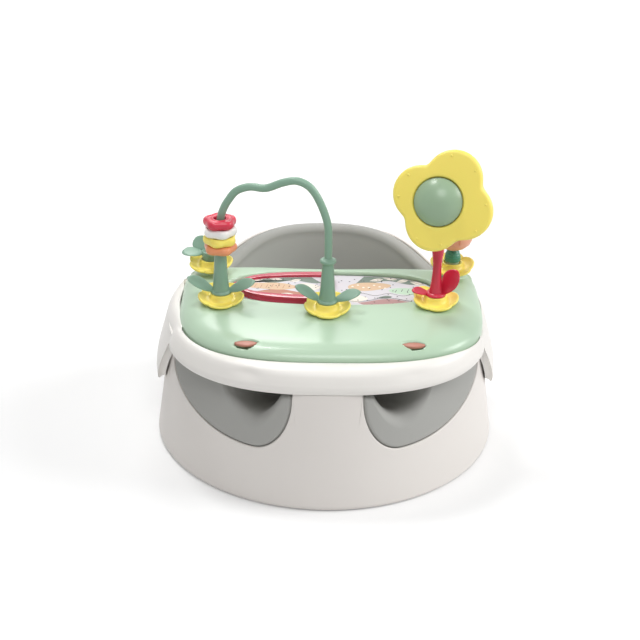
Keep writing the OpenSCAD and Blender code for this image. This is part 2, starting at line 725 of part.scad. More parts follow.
function along(i) =
    let (n = len(wire_path) - 1, d = wire_path[min(n, i + 1)] - wire_path[max(0, i - 1)]) d / norm(d);
wire_sides = 10;

module bead_wire() color(teal) {
    turn = atan2(mid_y - front_y, left_x);
    rings = [for (i = [0 : len(wire_path) - 1]) let (p = wire_path[i], d = along(i))
        [for (j = [0 : wire_sides - 1]) let (t = 360 * j / wire_sides, u = wire_r * cos(t))
            [p[0] - d[1] * u, wire_r * sin(t), p[1] + d[0] * u]]];
    translate([stations[0][0], stations[0][1], 0]) rotate([0, 0, turn]) skin(rings);
}

bead_lobes = 5;
dish = 1.4;             // width of the sloped edge at the top of a bead's bore
function bead_low(i) = stem_h + gap + i * (bead_h + gap);
function bead_outline(turn) = [for (j = [0 : 59]) let (t = 6 * j)
    (bead_r + 0.6 - 1.1 * (1 - cos(bead_lobes * (t - turn)))) * [cos(t), sin(t)]];

module bead(i, fat, turn) {
    r = fat * bead_h / 2;
    side = [for (k = [0 : 8]) let (t = -90 + 180 * k / 8)
        [bead_r + 0.6 - r + r * cos(t), bead_h / 2 * (1 + sin(t))]];
    translate([stations[0][0], stations[0][1], bead_low(i)]) intersection() {
        rotate_extrude($fn = 64) polygon(concat([[bead_bore, 0]], side,
            [[bead_bore + dish, bead_h], [bead_bore, bead_h - 2 * dish]]));
        linear_extrude(bead_h) difference() {
            polygon(bead_outline(turn));
            circle(r = bead_bore - 1, $fn = 32);
        }
    }
}
module bead_coral() color(coral) bead(0, 1, 10);
module bead_yellow() color(sun) bead(1, 0.7, 40);
module bead_white() color("white") bead(2, 0.7, 0);
module bead_red() color(rasp) bead(3, 0.8, 25);

// --- flower ----------------------------------------------------------------------------

flower_turns = [62, 160, 262, 345];     // directions of the four lobes
flower_reaches = [59.5, 50.5, 53, 59];  // how far each lobe reaches
lobe_r = 30;
spindle_r = 3.5;
// Distance to the edge of a lobe's circle, seen from the middle
function lobe_edge(t, k) =
    let (d = flower_reaches[k] - lobe_r, a = t - flower_turns[k], q = pow(lobe_r, 2) - pow(d * sin(a), 2))
    d * cos(a) + sqrt(max(0, q));
// The lobes blended into one outline; a higher power gives sharper notches
lobe_blend = 14;
function lobe_share(t, k) = pow(max(1, lobe_edge(t, k)), lobe_blend);
function flower_edge(t) =
    pow(lobe_share(t, 0) + lobe_share(t, 1) + lobe_share(t, 2) + lobe_share(t, 3), 1 / lobe_blend);
function flower_outline(inset) =
    [for (j = [0 : 71]) let (t = 5 * j) (flower_edge(t) - inset) * [cos(t), sin(t)]];

// Puts its children in the flower's plane, with its face along +Z
module at_flower() {
    translate([right_x, front_y, hub_z]) rotate([90 - flower_tilt, 0, -flower_turn])
        translate([0, 0, flower_reach]) children();
}

module flower_head() color(sun) {
    at_flower() difference() {
        union() {
            translate([0, 0, -flower_t / 2 + 2]) linear_extrude(flower_t - 4) polygon(flower_outline(0));
            translate([0, 0, -flower_t / 2]) linear_extrude(flower_t) polygon(flower_outline(2));
        }
        translate([0, 0, -flower_t]) cylinder(r = spindle_r + gap, h = 2 * flower_t, $fn = 32);
    }
}

module flower_dome() color([0.60, 0.73, 0.58]) {
    ball_r = (dome_r * dome_r + dome_h * dome_h) / (2 * dome_h);
    at_flower() difference() {
        translate([0, 0, flower_t / 2]) intersection() {
            translate([0, 0, dome_h - ball_r]) sphere(r = ball_r, $fn = 96);
            cylinder(r = dome_r, h = dome_h + 1, $fn = 64);
        }
        cylinder(r = spindle_r + gap + 2.5, h = flower_t / 2 + 5, $fn = 32);
    }
}

module flower_spindle() color("silver") {
    at_flower() {
        translate([0, 0, -flower_reach + 4])
            cylinder(r = spindle_r, h = flower_reach - 4 + flower_t / 2 + gap, $fn = 32);
        translate([0, 0, flower_t / 2 + gap]) cylinder(r = spindle_r + 2, h = 2, $fn = 32);
    }
}

// --- rear stations ---------------------------------------------------------------------

post_r = 4;
rear_top = petal_top + rear_lift;
rosette_z = rear_top + 8;
module rosette_post() color(teal) {
    translate([stations[3][0], stations[3][1], 0]) difference() {
        union() {
            translate([0, 0, peg_low]) cylinder(r = peg_r, h = rear_top - peg_low + 1, $fn = 40);
            translate([0, 0, rear_top]) cylinder(r = 9, h = rosette_z - gap - rear_top, $fn = 48);
            translate([0, 0, rear_top]) cylinder(r = post_r, h = rosette_z - rear_top + 7, $fn = 32);
            translate([0, 0, rosette_z + 6 + gap]) cylinder(r1 = 7, r2 = 4, h = 4, $fn = 48);
        }
        translate([0, 0, -1]) cylinder(r = screw_r, h = peg_low + 11, $fn = 24);
    }
}

module leaf_rosette() color(teal) {
    turns = [178, 105, 20, -70];
    rises = [3, 56, 34, 30];
    lengths = [23, 22, 26, 22];
    translate([stations[3][0], stations[3][1], rosette_z]) difference() {
        union() {
            cylinder(r = 10, h = 6, $fn = 48);
            for (i = [0 : 3]) rotate([0, 0, turns[i]]) translate([6, 0, 2])
                rotate([0, -rises[i], 0]) leaf(lengths[i], 16);
        }
        translate([0, 0, -1]) cylinder(r = post_r + gap, h = 8, $fn = 32);
        translate([0, 0, 6]) cylinder(r = 8, h = full, $fn = 32);
    }
}

bud_z = rear_top + 6;
hub_h = 14;
module bud_post() color(mint) {
    translate([stations[4][0], stations[4][1], 0]) difference() {
        union() {
            translate([0, 0, peg_low]) cylinder(r = peg_r, h = rear_top - peg_low + 1, $fn = 40);
            translate([0, 0, rear_top]) cylinder(r = 8, h = bud_z - gap - rear_top, $fn = 48);
            translate([0, 0, rear_top]) cylinder(r = post_r, h = 33, $fn = 32);
        }
        translate([0, 0, -1]) cylinder(r = screw_r, h = peg_low + 11, $fn = 24);
    }
}

// Ribbed dome: radius at each height
hub_rows = [[9.2, 0], [9.6, 1.5], [9.2, 3], [9.4, 4.5], [8.8, 6], [8.8, 7.5], [7.9, 9], [7.6, 10.5],
    [6.2, 12.5], [5.4, hub_h]];
module bud_hub() color(deep_green) {
    translate([stations[4][0], stations[4][1], bud_z]) difference() {
        rotate_extrude($fn = 48) polygon(concat([[0, 0]], hub_rows, [[0, hub_h]]));
        translate([0, 0, -1]) cylinder(r = post_r + gap, h = full, $fn = 32);
    }
}

// Tulip bud: radius at each height over the hub, and the grooves between its petals
cup_rows = [[7, 0], [14, 3.5], [19, 8], [21.5, 14], [21.5, 21], [18.5, 28], [12, 33.5], [5, 36]];
bud_petals = 3;
groove_turn = -84;      // direction of the first groove, seen from above
module bud_cup() color(coral) {
    top = cup_rows[len(cup_rows) - 1][1] + 0.5;
    translate([stations[4][0], stations[4][1], bud_z + hub_h]) difference() {
        rotate_extrude($fn = 64) polygon(concat([[0, 0]], cup_rows, [[0, top]]));
        translate([0, 0, -1]) cylinder(r = post_r + gap, h = 18, $fn = 32);
        for (i = [0 : bud_petals - 1]) rotate([0, 0, groove_turn + 360 * i / bud_petals])
            translate([cup_rows[3][0] + 1.5, 0, -1]) rotate([0, 0, 45]) cylinder(r = 4, h = full, $fn = 4);
    }
}

module station_screws() color("silver") {
    head_h = 2;
    for (s = stations) translate([s[0], s[1], peg_low]) {
        translate([0, 0, -head_h]) cylinder(r = screw_head_r, h = head_h, $fn = 32);
        translate([0, 0, -head_h]) cylinder(r = screw_r - 0.05, h = 10 + head_h, $fn = 24);
    }
}

outer_shell();
base_plate();
base_screws();
foot_pads();
seat_insert();
tray_base();
activity_tray();
print_card();
latch_left();
latch_right();
page_frame();
page_card();
page_hinge_pin();
petals_left();
petals_centre();
petals_right();
petals_rear_left();
petals_rear_right();
stem_left();
stem_centre();
stem_right();
leaves_left();
leaves_centre();
leaves_right();
bead_wire();
bead_coral();
bead_yellow();
bead_white();
bead_red();
flower_head();
flower_dome();
flower_spindle();
rosette_post();
leaf_rosette();
bud_post();
bud_hub();
bud_cup();
station_screws();
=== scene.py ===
"""Looks of a baby floor seat with a clip-on activity tray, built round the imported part.

Shapes are worked out in millimetres, in the part's own frame, and made in metres.
"""
from math import copysign, cos, pi, radians, sin, sqrt

import bmesh
import bpy
import numpy as np
from mathutils import Matrix, Vector


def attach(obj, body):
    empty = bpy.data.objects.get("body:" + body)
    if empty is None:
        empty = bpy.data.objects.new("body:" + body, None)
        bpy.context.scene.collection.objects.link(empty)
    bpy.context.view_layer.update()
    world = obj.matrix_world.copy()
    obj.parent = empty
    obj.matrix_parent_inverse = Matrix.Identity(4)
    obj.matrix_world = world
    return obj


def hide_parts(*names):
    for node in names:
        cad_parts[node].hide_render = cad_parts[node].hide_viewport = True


MM = 0.001
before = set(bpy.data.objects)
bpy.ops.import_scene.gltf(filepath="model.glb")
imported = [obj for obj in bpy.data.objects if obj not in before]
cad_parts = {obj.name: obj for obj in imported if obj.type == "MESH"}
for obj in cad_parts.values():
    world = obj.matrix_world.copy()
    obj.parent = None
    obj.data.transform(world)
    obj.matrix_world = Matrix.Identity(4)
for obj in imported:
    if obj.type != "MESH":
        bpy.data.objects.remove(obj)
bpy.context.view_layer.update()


# --- small maths ---

def smooth(t):
    t = np.clip(t, 0, 1)
    return t * t * (3 - 2 * t)


def mix(a, b, t):
    return a + (b - a) * t


def soft_min(a, b, k):
    """The smaller of two heights, rounded over a distance k where they meet."""
    h = np.clip(0.5 + 0.5 * (b - a) / k, 0, 1)
    return mix(b, a, h) - k * h * (1 - h)


def curve(points, x):
    """Smooth curve through (x, y) points, by monotone cubic steps."""
    p = np.array(points, float)
    px, py = p[:, 0], p[:, 1]
    d = np.diff(py) / np.diff(px)
    m = np.concatenate([[d[0]], (d[1:] + d[:-1]) / 2, [d[-1]]])
    flat = np.concatenate([[False], d[1:] * d[:-1] <= 0, [False]])
    m[flat] = 0
    for k in range(len(d)):
        if abs(d[k]) < 1e-9:
            m[k] = m[k + 1] = 0
        else:
            a, b = m[k] / d[k], m[k + 1] / d[k]
            s = a * a + b * b
            if s > 9:
                m[k], m[k + 1] = 3 * a * d[k] / sqrt(s), 3 * b * d[k] / sqrt(s)
    x = np.clip(x, px[0], px[-1])
    k = np.clip(np.searchsorted(px, x, side="right") - 1, 0, len(d) - 1)
    h = px[k + 1] - px[k]
    t = (x - px[k]) / h
    return ((2 * t**3 - 3 * t**2 + 1) * py[k] + (t**3 - 2 * t**2 + t) * h * m[k]
            + (3 * t**2 - 2 * t**3) * py[k + 1] + (t**3 - t**2) * h * m[k + 1])


def around(count):
    """Even angles round a full turn."""
    return np.linspace(0, 2 * pi, count, endpoint=False)


def arc(start, end, count):
    """Even angles between two that are given in degrees."""
    return np.radians(np.linspace(start, end, count))


def circles(t, rows, at=(0, 0)):
    """Points at the angles t round an upright axis, for each row of (radius, height)."""
    return [np.stack([at[0] + r * np.cos(t), at[1] + r * np.sin(t), np.broadcast_to(z, t.shape)], -1)
            for r, z in rows]


def run_length(p):
    """How far along an open line each of its points lies."""
    return np.concatenate([[0], np.cumsum(np.linalg.norm(np.diff(p, axis=0), axis=1))])


def even_points(p, count):
    """Even points along an open line."""
    length = run_length(p)
    at = np.linspace(0, length[-1], count)
    return np.stack([np.interp(at, length, p[:, k]) for k in range(p.shape[1])], -1)


def unit(v):
    return v / np.maximum(np.linalg.norm(v, axis=1, keepdims=True), 1e-9)


def normals(d):
    """Unit normals on the right of flat directions."""
    return unit(np.stack([d[:, 1], -d[:, 0]], -1))


def twice_area(p):
    """Twice the area of a flat outline, below 0 where it runs clockwise."""
    return np.sum(p[:, 0] * np.roll(p[:, 1], -1) - np.roll(p[:, 0], -1) * p[:, 1])


def bisect(is_under, low, high, steps):
    """The value between low and high at which a test stops being true."""
    for _ in range(steps):
        mid = (low + high) / 2
        under = is_under(mid)
        low, high = np.where(under, mid, low), np.where(under, high, mid)
    return (low + high) / 2


# --- meshes ---

def quads(rows, cols, wrap_rows, wrap_cols):
    r = np.arange(rows if wrap_rows else rows - 1)
    c = np.arange(cols if wrap_cols else cols - 1)
    r, c = np.meshgrid(r, c, indexing="ij")
    r2, c2 = (r + 1) % rows, (c + 1) % cols
    return np.stack([r * cols + c, r * cols + c2, r2 * cols + c2, r2 * cols + c], -1).reshape(-1, 4)


SLOTS = {}              # the slot of each material, by the material's name


def add_object(name, data):
    """A new object in the scene."""
    obj = bpy.data.objects.new(name, data)
    bpy.context.scene.collection.objects.link(obj)
    return obj


def enter(obj, material, body, node=None, slot=None):
    """Puts an object on its body, in place of a CAD node where one is named."""
    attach(obj, body)
    if node:
        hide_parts(node)
    slot or SLOTS[material.name]


def make(name, points, faces, material, body, node=None, slot=None):
    """A mesh object from points in millimetres, riding on a body."""
    mesh = bpy.data.meshes.new(name)
    mesh.from_pydata((np.asarray(points) * MM).tolist(), [], [list(map(int, f)) for f in faces])
    mesh.validate()
    mesh.materials.append(material)
    mesh.shade_smooth()
    obj = add_object(name, mesh)
    enter(obj, material, body, node, slot)
    return obj


def loft(name, grid, material, body, wrap_rows=False, wrap_cols=True, **more):
    """A surface through rows of points; open ends are closed by caps."""
    grid = np.asarray(grid, float)
    rows, cols = grid.shape[:2]
    points = grid.reshape(-1, 3)
    sides = quads(rows, cols, wrap_rows, wrap_cols)
    faces = sides.tolist()
    if not wrap_rows and wrap_cols:
        faces.append(list(range(cols))[::-1])
        faces.append([(rows - 1) * cols + k for k in range(cols)])
    if wrap_rows and not wrap_cols:
        faces.append([k * cols for k in range(rows)])
        faces.append([k * cols + cols - 1 for k in range(rows)][::-1])
    if volume_sign(points - points.mean(0), sides) < 0:
        faces = [f[::-1] for f in faces]
    return make(name, points, faces, material, body, **more)


def volume_sign(points, q):
    a, b, c, d = (points[q[:, k]] for k in range(4))
    return (np.einsum("ij,ij->i", a, np.cross(b, c)) + np.einsum("ij,ij->i", a, np.cross(c, d))).sum()


def lathe(name, rows, at, material, body, **more):
    """A turned piece: rows of (radius, height) about an upright axis."""
    loft(name, circles(around(96), rows, at), material, body, **more)


def rounded_rows(rows, radius):
    """(radius, height) rows with each inner corner turned into an arc."""
    p = [np.array(r, float) for r in rows]
    out = [p[0]]
    for k in range(1, len(p) - 1):
        a, b, c = p[k - 1], p[k], p[k + 1]
        u, v = a - b, c - b
        lu, lv = np.linalg.norm(u), np.linalg.norm(v)
        cut = min(radius, lu / 2.05, lv / 2.05)
        start, end = b + u / lu * cut, b + v / lv * cut
        for s in np.linspace(0, 1, 5):
            out.append((1 - s) ** 2 * start + 2 * s * (1 - s) * b + s * s * end)
    out.append(p[-1])
    return out


def tube(name, centres, radius, material, body, **more):
    """A round rod along a list of centres."""
    d = unit(np.gradient(centres, axis=0))
    side = unit(np.cross(d, [0, 1, 0]))
    t = around(32)[:, None]
    grid = [c + radius * (s * np.cos(t) + u * np.sin(t)) for c, s, u in zip(centres, side, np.cross(side, d))]
    loft(name, grid, material, body, **more)


def edge_rows(depth, radius, count=5):
    """Distances from a sheet's edge and depths below its face, from the outer face round to the inner."""
    a = arc(0, 90, count)
    first = [(radius * (1 - sin(x)), radius * (1 - cos(x))) for x in a]
    second = [(radius * (1 - cos(x)), depth - radius * (1 - sin(x))) for x in a]
    return first + second


def inward(line, period, toward):
    """Unit normals of an edge line in a sheet's flat coordinates, pointing into the sheet."""
    if period is None:
        return normals(np.gradient(line, axis=0)) * toward
    before, after = np.roll(line, 1, 0), np.roll(line, -1, 0)
    before[0, 0] -= period
    after[-1, 0] += period
    return normals(after - before) * toward


def sheet_between(name, upper, lower, place, thick, top_round, low_round, rows, material, body,
                  period=None, **more):
    """A walled sheet between two edge lines. place(s, v, depth) gives its points."""
    up_in, low_in = inward(upper, period, 1), inward(lower, period, -1)
    start, end = upper + up_in * top_round, lower + low_in * low_round
    lines = [(mix(start, end, t), 0.0) for t in np.linspace(0, 1, rows)]
    lines += [(lower + low_in * d, depth) for d, depth in edge_rows(thick, low_round)[1:]]
    lines += [(mix(end, start, t), thick) for t in np.linspace(0, 1, rows // 2)[1:-1]]
    lines += [(upper + up_in * d, depth) for d, depth in edge_rows(thick, top_round)[::-1][:-1]]
    grid = [place(q[:, 0], q[:, 1], depth) for q, depth in lines]
    return loft(name, grid, material, body, wrap_rows=True, wrap_cols=period is not None, **more)


# --- materials ---

def linear(rgb):
    c = np.array(rgb, float) / 255
    return tuple(np.where(c <= 0.04045, c / 12.92, ((c + 0.055) / 1.055) ** 2.4)) + (1.0,)


def node_tree(owner):
    owner.use_nodes = True
    return owner.node_tree.nodes, owner.node_tree.links


def add_node(nodes, kind, inputs=(), **settings):
    """A new shader node with its settings and the values of some inputs."""
    node = nodes.new("ShaderNode" + kind)
    for key, value in settings.items():
        setattr(node, key, value)
    for socket, value in dict(inputs).items():
        node.inputs[socket].default_value = value
    return node


def surface(name, rgb, rough, specular=0.5, coat=0.0, grain=0.0, grain_mm=0.6, through=0.0, glow=0.0,
            metal=0.0):
    """A plastic, foam or metal with a fine grain. through lets light pass, glow scatters it inside."""
    mat = bpy.data.materials.new(name)
    SLOTS[mat.name] = name
    nodes, links = node_tree(mat)
    shader = nodes["Principled BSDF"]
    values = {"Base Color": linear(rgb), "Roughness": rough, "Specular IOR Level": specular, "Metallic": metal,
              "Coat Weight": coat, "Coat Roughness": 0.12, "Transmission Weight": through}
    if glow:
        values.update({"Subsurface Weight": glow, "Subsurface Radius": (1.0, 0.8, 0.7),
                       "Subsurface Scale": 0.004})
    for socket, value in values.items():
        shader.inputs[socket].default_value = value
    if grain:
        where = add_node(nodes, "TexCoord")
        noise = add_node(nodes, "TexNoise", {"Scale": 1000 / grain_mm, "Detail": 3})
        bump = add_node(nodes, "Bump", {"Strength": grain, "Distance": 0.0002})
        links.new(where.outputs["Object"], noise.inputs["Vector"])
        links.new(noise.outputs["Fac"], bump.inputs["Height"])
        links.new(bump.outputs["Normal"], shader.inputs["Normal"])
    return mat


WHITE = surface("shell_white", (232, 227, 222), 0.42, grain=0.12)
TRAY_WHITE = surface("tray_white", (240, 237, 232), 0.40, grain=0.10)
GREY = surface("seat_grey", (172, 172, 168), 0.72, specular=0.3, grain=0.35, grain_mm=0.9)
MINT = surface("tray_mint", (182, 208, 182), 0.28, grain=0.06)
TEAL = surface("stem_teal", (132, 166, 145), 0.38, grain=0.06)
YELLOW = surface("petal_yellow", (255, 233, 112), 0.40, glow=0.25, grain=0.08)
RASP = surface("stem_raspberry", (212, 44, 72), 0.26)
RASP_CLEAR = surface("page_raspberry", (222, 60, 88), 0.16, through=0.25, coat=0.5)
CORAL = surface("bead_coral", (233, 150, 105), 0.36)
LATCH = surface("latch_coral", (190, 128, 112), 0.4)
BUD = surface("bud_coral", (240, 172, 140), 0.36)
PEARL = surface("bead_white", (244, 243, 240), 0.25, coat=0.2)
DOME = surface("dome_green", (152, 178, 148), 0.30)
DEEP = surface("deep_green", (62, 140, 112), 0.3)
CARD = surface("print_card", (214, 211, 217), 0.5)
INK_GREEN, INK_ROSE, INK_TAN, INK_MINT, INK_CREAM, INK_TERRA, INK_DARK = (
    surface("print_" + name, rgb, 0.5) for name, rgb in [
        ("green", (112, 128, 116)), ("rose", (178, 136, 134)), ("tan", (216, 184, 150)),
        ("mint", (190, 216, 192)), ("cream", (240, 232, 220)), ("terra", (184, 122, 100)), ("ink", (52, 50, 52))])
PAD = surface("pad_rubber", (70, 70, 70), 0.8)
STEEL = surface("steel", (190, 192, 196), 0.3, metal=1.0)

# --- hard shell ---

BASE_R, LEAN, WALL = 195, 0.135, 3.2
SIDE_H, BACK_H, POMMEL_H = 143, 179, 131.7
RISE_START, RISE_END = 93, 166
LEG_X, LEG_Z, LEG_IN, LEG_OUT, LEG_IN_RISE, LEG_OUT_RISE = 80, 64, 43, 89, 60, 46
FLAT_R = 180            # radius at which the wall is unrolled
FOOT_Z = 1.5            # lower edge of the wall


def shell_r(z):
    return BASE_R - LEAN * z + 0.9 * np.exp(-z / 30) - 0.9


def rim_z(y):
    return SIDE_H + (BACK_H - SIDE_H) * smooth((y - RISE_START) / (RISE_END - RISE_START))


def leg_curve():
    """Edge of the right leg opening, seen from the front: (x, z) from the pommel's top to the side rim."""
    t = arc(0, 90, 48)
    inner = np.stack([LEG_X - LEG_IN * np.cos(t), LEG_Z + LEG_IN_RISE * (1 - np.sin(t))], -1)
    outer = np.stack([LEG_X + LEG_OUT * np.sin(t), LEG_Z + LEG_OUT_RISE * (1 - np.cos(t))], -1)[1:]
    down = [[inner[0, 0], z] for z in np.linspace(POMMEL_H, inner[0, 1], 6)[:-1]]
    up = [[outer[-1, 0], z] for z in np.linspace(outer[-1, 1], SIDE_H, 16)[1:]]
    return np.vstack([down, inner, outer, up])


def unroll(x, z):
    """Flat place on the wall of a point seen from the front."""
    return np.degrees(np.arcsin(np.clip(x / shell_r(z), -1, 1)))


def wall_place(angle, z, depth):
    a = np.radians(angle)
    r = shell_r(z) - depth
    foot = 2.6 * np.clip(1 - (z - FOOT_Z) / 4.5, 0, 1) ** 2
    return np.stack([(r - foot) * np.sin(a), -(r - foot) * np.cos(a), z], -1)


def build_shell():
    leg = leg_curve()
    s = unroll(leg[:, 0], leg[:, 1])
    front = np.stack([np.linspace(0, s[0], 14)[:-1], np.full(13, POMMEL_H)], -1)
    back_s = np.linspace(s[-1], 180, 90)[1:]
    back = np.stack([back_s, rim_z(-175 * np.cos(np.radians(back_s)))], -1)
    half = np.vstack([front, np.stack([s, leg[:, 1]], -1), back])
    # angles at the foot of some marked columns of the wall
    marks = [0] + [len(front) + k for k in (0, 5, 18, 52, 85, 99, len(leg) - 1)] + [len(half) - 1]
    feet = [0, s[0] - 5.5, s[0] - 3.5, s[0] - 0.5, s[52], s[-16] - 3, s[-16] + 3, s[-1] + 9, 180]
    low_s = np.interp(np.arange(len(half)), marks, feet)
    low = np.stack([low_s, np.full(len(half), FOOT_Z)], -1)
    k = pi * FLAT_R / 180
    upper, lower = (np.vstack([h, (h * [-1, 1] + [360, 0])[::-1][1:-1]]) * [k, 1] for h in (half, low))

    def place(a, z, depth):
        return wall_place(a / k, z, depth)
    obj = sheet_between("shell_skin", upper, lower, place, WALL, 1.1, 1.4, 60, WHITE, "seat",
                        period=360 * k, node="outer_shell")
    # the sloping wall is smooth: its face normals would show the skewed columns
    mesh = obj.data

    def read(field):
        values = np.empty(len(mesh.vertices) * 3)
        mesh.vertices.foreach_get(field, values)
        return values.reshape(-1, 3)
    facing, points = read("normal"), read("co") / MM
    radius = np.hypot(points[:, 0], points[:, 1])
    wall = (np.abs(radius - shell_r(points[:, 2])) < 0.02) & (points[:, 2] > 7)
    facing[wall] = np.column_stack([points[wall, :2] / radius[wall, None], np.full(wall.sum(), LEAN)])
    mesh.normals_split_custom_set_from_vertices(unit(facing).tolist())


# --- soft seat ---

SEAT_LOW, SEAT_FLOOR, FLOOR_R = 34, 54, 84
BOWL_R, BOWL_FRONT, BACK_EXTRA = 149, 90, 6
CHANNEL_Z, CHANNEL_SPREAD, SOFT_RISE = 97, 5.5, 90
SEAM_GAP = 0.9          # dark line between the soft seat and the edge of a leg opening
FLUSH = 3.9             # how far the soft seat fills an opening
SEAT_WALL_LOW = 40.0    # lower end of the soft seat's upright wall
# Fall of the bowl's wall: share of the way inward, and of the height
BOWL_FALL = [(0, 0), (0.3, 0.5), (0.65, 0.82), (1.0, 1.0)]


def seat_rim(a_deg):
    """Height of the soft rim at an angle from the front."""
    a = np.radians(a_deg)
    r = np.where(np.cos(a) > 0, shell_r(100), shell_r(BACK_H) - WALL - 0.5)
    x, y = np.abs(r * np.sin(a)), -r * np.cos(a)
    back = rim_z(y) - 2 + (BACK_EXTRA + 2) * smooth((y - SOFT_RISE) / 20)
    body = np.where((y < 0) & (x < LEG_X), POMMEL_H - 3, back)
    channel = CHANNEL_Z + ((x - LEG_X) / CHANNEL_SPREAD) ** 2
    front = soft_min(body, channel, 6)
    return np.where(y < 0, mix(front, body, smooth((x - 165) / 14)), body)


def seat_fill(x, z):
    """Share of the flush depth at a point seen from the front: 1 well inside a leg opening."""
    x = np.abs(x)
    inner = x < LEG_X
    a = np.where(inner, LEG_IN, LEG_OUT) - SEAM_GAP
    rise = np.where(inner, LEG_IN_RISE, LEG_OUT_RISE) - SEAM_GAP
    low = LEG_Z + SEAM_GAP
    u = (x - LEG_X) / a
    v = np.clip((low + rise - z) / rise, 0, None)
    q = np.sqrt(u * u + v * v)
    slope = np.sqrt((u / a) ** 2 + (v / rise) ** 2) / np.maximum(q, 1e-6)
    d = (1 - q) / np.maximum(slope, 1e-6)
    shoulder = 3.2
    t = np.clip(d / shoulder, 0, 1)
    return np.sqrt(np.clip(1 - (1 - t) ** 2, 0, 1))


def build_seat():
    a = np.linspace(0, 360, 900, endpoint=False)
    turn, fold = np.radians(a), np.where(a > 180, 360 - a, a)
    top = seat_rim(fold)
    r_in = mix(BOWL_FRONT, BOWL_R, smooth((fold - 30) / 50))
    # 1 beside the leg openings
    leg = smooth((shell_r(100) * np.cos(np.radians(fold)) + 30) / 20) * smooth((fold - 12) / 6)
    round_out, round_in = mix(8.0, 13.0, leg), 9.0

    def ring(r, z):
        return np.stack([r * np.sin(turn), -r * np.cos(turn), np.broadcast_to(z, turn.shape)], -1)

    def outer(z):
        r = shell_r(z)
        fill = np.where(-np.cos(turn) < -0.2, seat_fill(r * np.sin(turn), z), 0)
        return r - WALL - 0.5 + FLUSH * fill

    grid = [ring(1.0, SEAT_LOW), ring(124.0, SEAT_LOW)]
    for t in np.linspace(0, 1, 120):
        z = mix(SEAT_WALL_LOW, top - round_out, t)
        grid.append(ring(outer(z), z))
    edge = outer(top - round_out)
    for b in arc(0, 90, 14)[1:]:
        grid.append(ring(edge - round_out * (1 - np.cos(b)), top - round_out * (1 - np.sin(b))))
    sink = 16 * leg * smooth((POMMEL_H - 6 - top) / 12)
    for t in np.linspace(0, 1, 14)[1:]:
        grid.append(ring(mix(edge - round_out, r_in + round_in, t), top - sink * smooth(t)))
    inner_top = top - sink
    for b in arc(0, 90, 12)[1:]:
        grid.append(ring(r_in + round_in * (1 - np.sin(b)), inner_top - round_in * (1 - np.cos(b))))
    share = np.linspace(0, 1, 40)
    for t, s in zip(share[1:], curve(BOWL_FALL, share)[1:]):
        grid.append(ring(mix(r_in, FLOOR_R - 6, t), mix(inner_top - round_in, SEAT_FLOOR, s)))
    for t in (0.5, 0.985):
        grid.append(ring((FLOOR_R - 6) * (1 - t), SEAT_FLOOR))
    obj = loft("soft_seat", grid, GREY, "seat", node="seat_insert")


# --- tray base ---

LIP_W, LIP_FRONT, LIP_REAR, LIP_N, LIP_REAR_N = 181.5, 177, 88, 2.5, 3.6
TOY_X, TOY_W, TOY_FRONT, TOY_REAR, TOY_N, TOY_REAR_N = 5, 169, 149, 78, 3, 6
HOLLOW_R, REAR_Y, TRIM = 470, 63, 6
TRAY_LOW, TRAY_FLOOR, SKIRT_LOW = 143.3, 146.3, 132

# The lip's section: distance in from the outline, and height, from its inner edge down to its hem
LIP_SECTION = [(30, 155.0), (22, 155.8), (15, 156.2), (10.5, 155.9), (7.4, 154.4), (4.9, 151.6), (2.8, 147.6),
               (1.0, 143.2), (-0.3, 139.4), (-0.6, 136.2), (0.0, 133.4), (0.4, 132.0)]
# The wing's section under the lip: distance from the shell, and height
WING_SECTION = [(5.7, 142), (7.3, 131), (9.2, 118), (11.0, 105), (11.4, 93), (10.9, 84), (8.8, 74), (5.7, 67),
                (2.6, 64)]
# Front and rear edges of a wing: place along Y, and height
WING_FRONT = [(-70, 132.4), (-64, 133.6), (-61, 132.0), (-57.5, 124), (-53, 112), (-48.5, 100), (-43, 88),
              (-35, 76.5), (-24, 68.5), (-10, 64.6), (8, 64)]
WING_REAR = [(8, 64), (26, 64.8), (39, 69), (48, 78), (53, 91), (55.5, 108), (57.5, 124), (60, 136), (64, 143)]
# Soft finger dents in the lip: sideways place, and depth
FINGER_DENTS = [(-84, 2.2), (90, 0.9)]


def lip_point(t_deg):
    """Point of the lip's outline, whose front and rear halves differ."""
    t = np.radians(t_deg)
    c, s = np.cos(t), np.sin(t)
    reach = np.where(s < 0, LIP_FRONT, LIP_REAR)
    n = np.where(s < 0, LIP_N, LIP_REAR_N)
    return np.stack([LIP_W * np.sign(c) * np.abs(c) ** (2 / n), reach * np.sign(s) * np.abs(s) ** (2 / n)], -1)


def hollow_y(x, y0):
    return y0 + HOLLOW_R - np.sqrt(HOLLOW_R ** 2 - np.asarray(x) ** 2)


def toy_level(x, y, inset):
    a, f, b = TOY_W - inset, TOY_FRONT - inset, TOY_REAR - inset
    n = np.where(y < 0, TOY_N, TOY_REAR_N)
    return (np.abs(x - TOY_X) / a) ** n + (np.abs(y) / np.where(y < 0, f, b)) ** n


def toy_inset(x, y):
    """How far a point lies inside the green tray's outline."""
    return bisect(lambda inset: toy_level(x, y, inset) < 1, -30.0, 62.0, 26)


def wing_share(y):
    """0 where the lip keeps its own section, 1 where it runs down into a wing."""
    return smooth((y + 84) / 26)


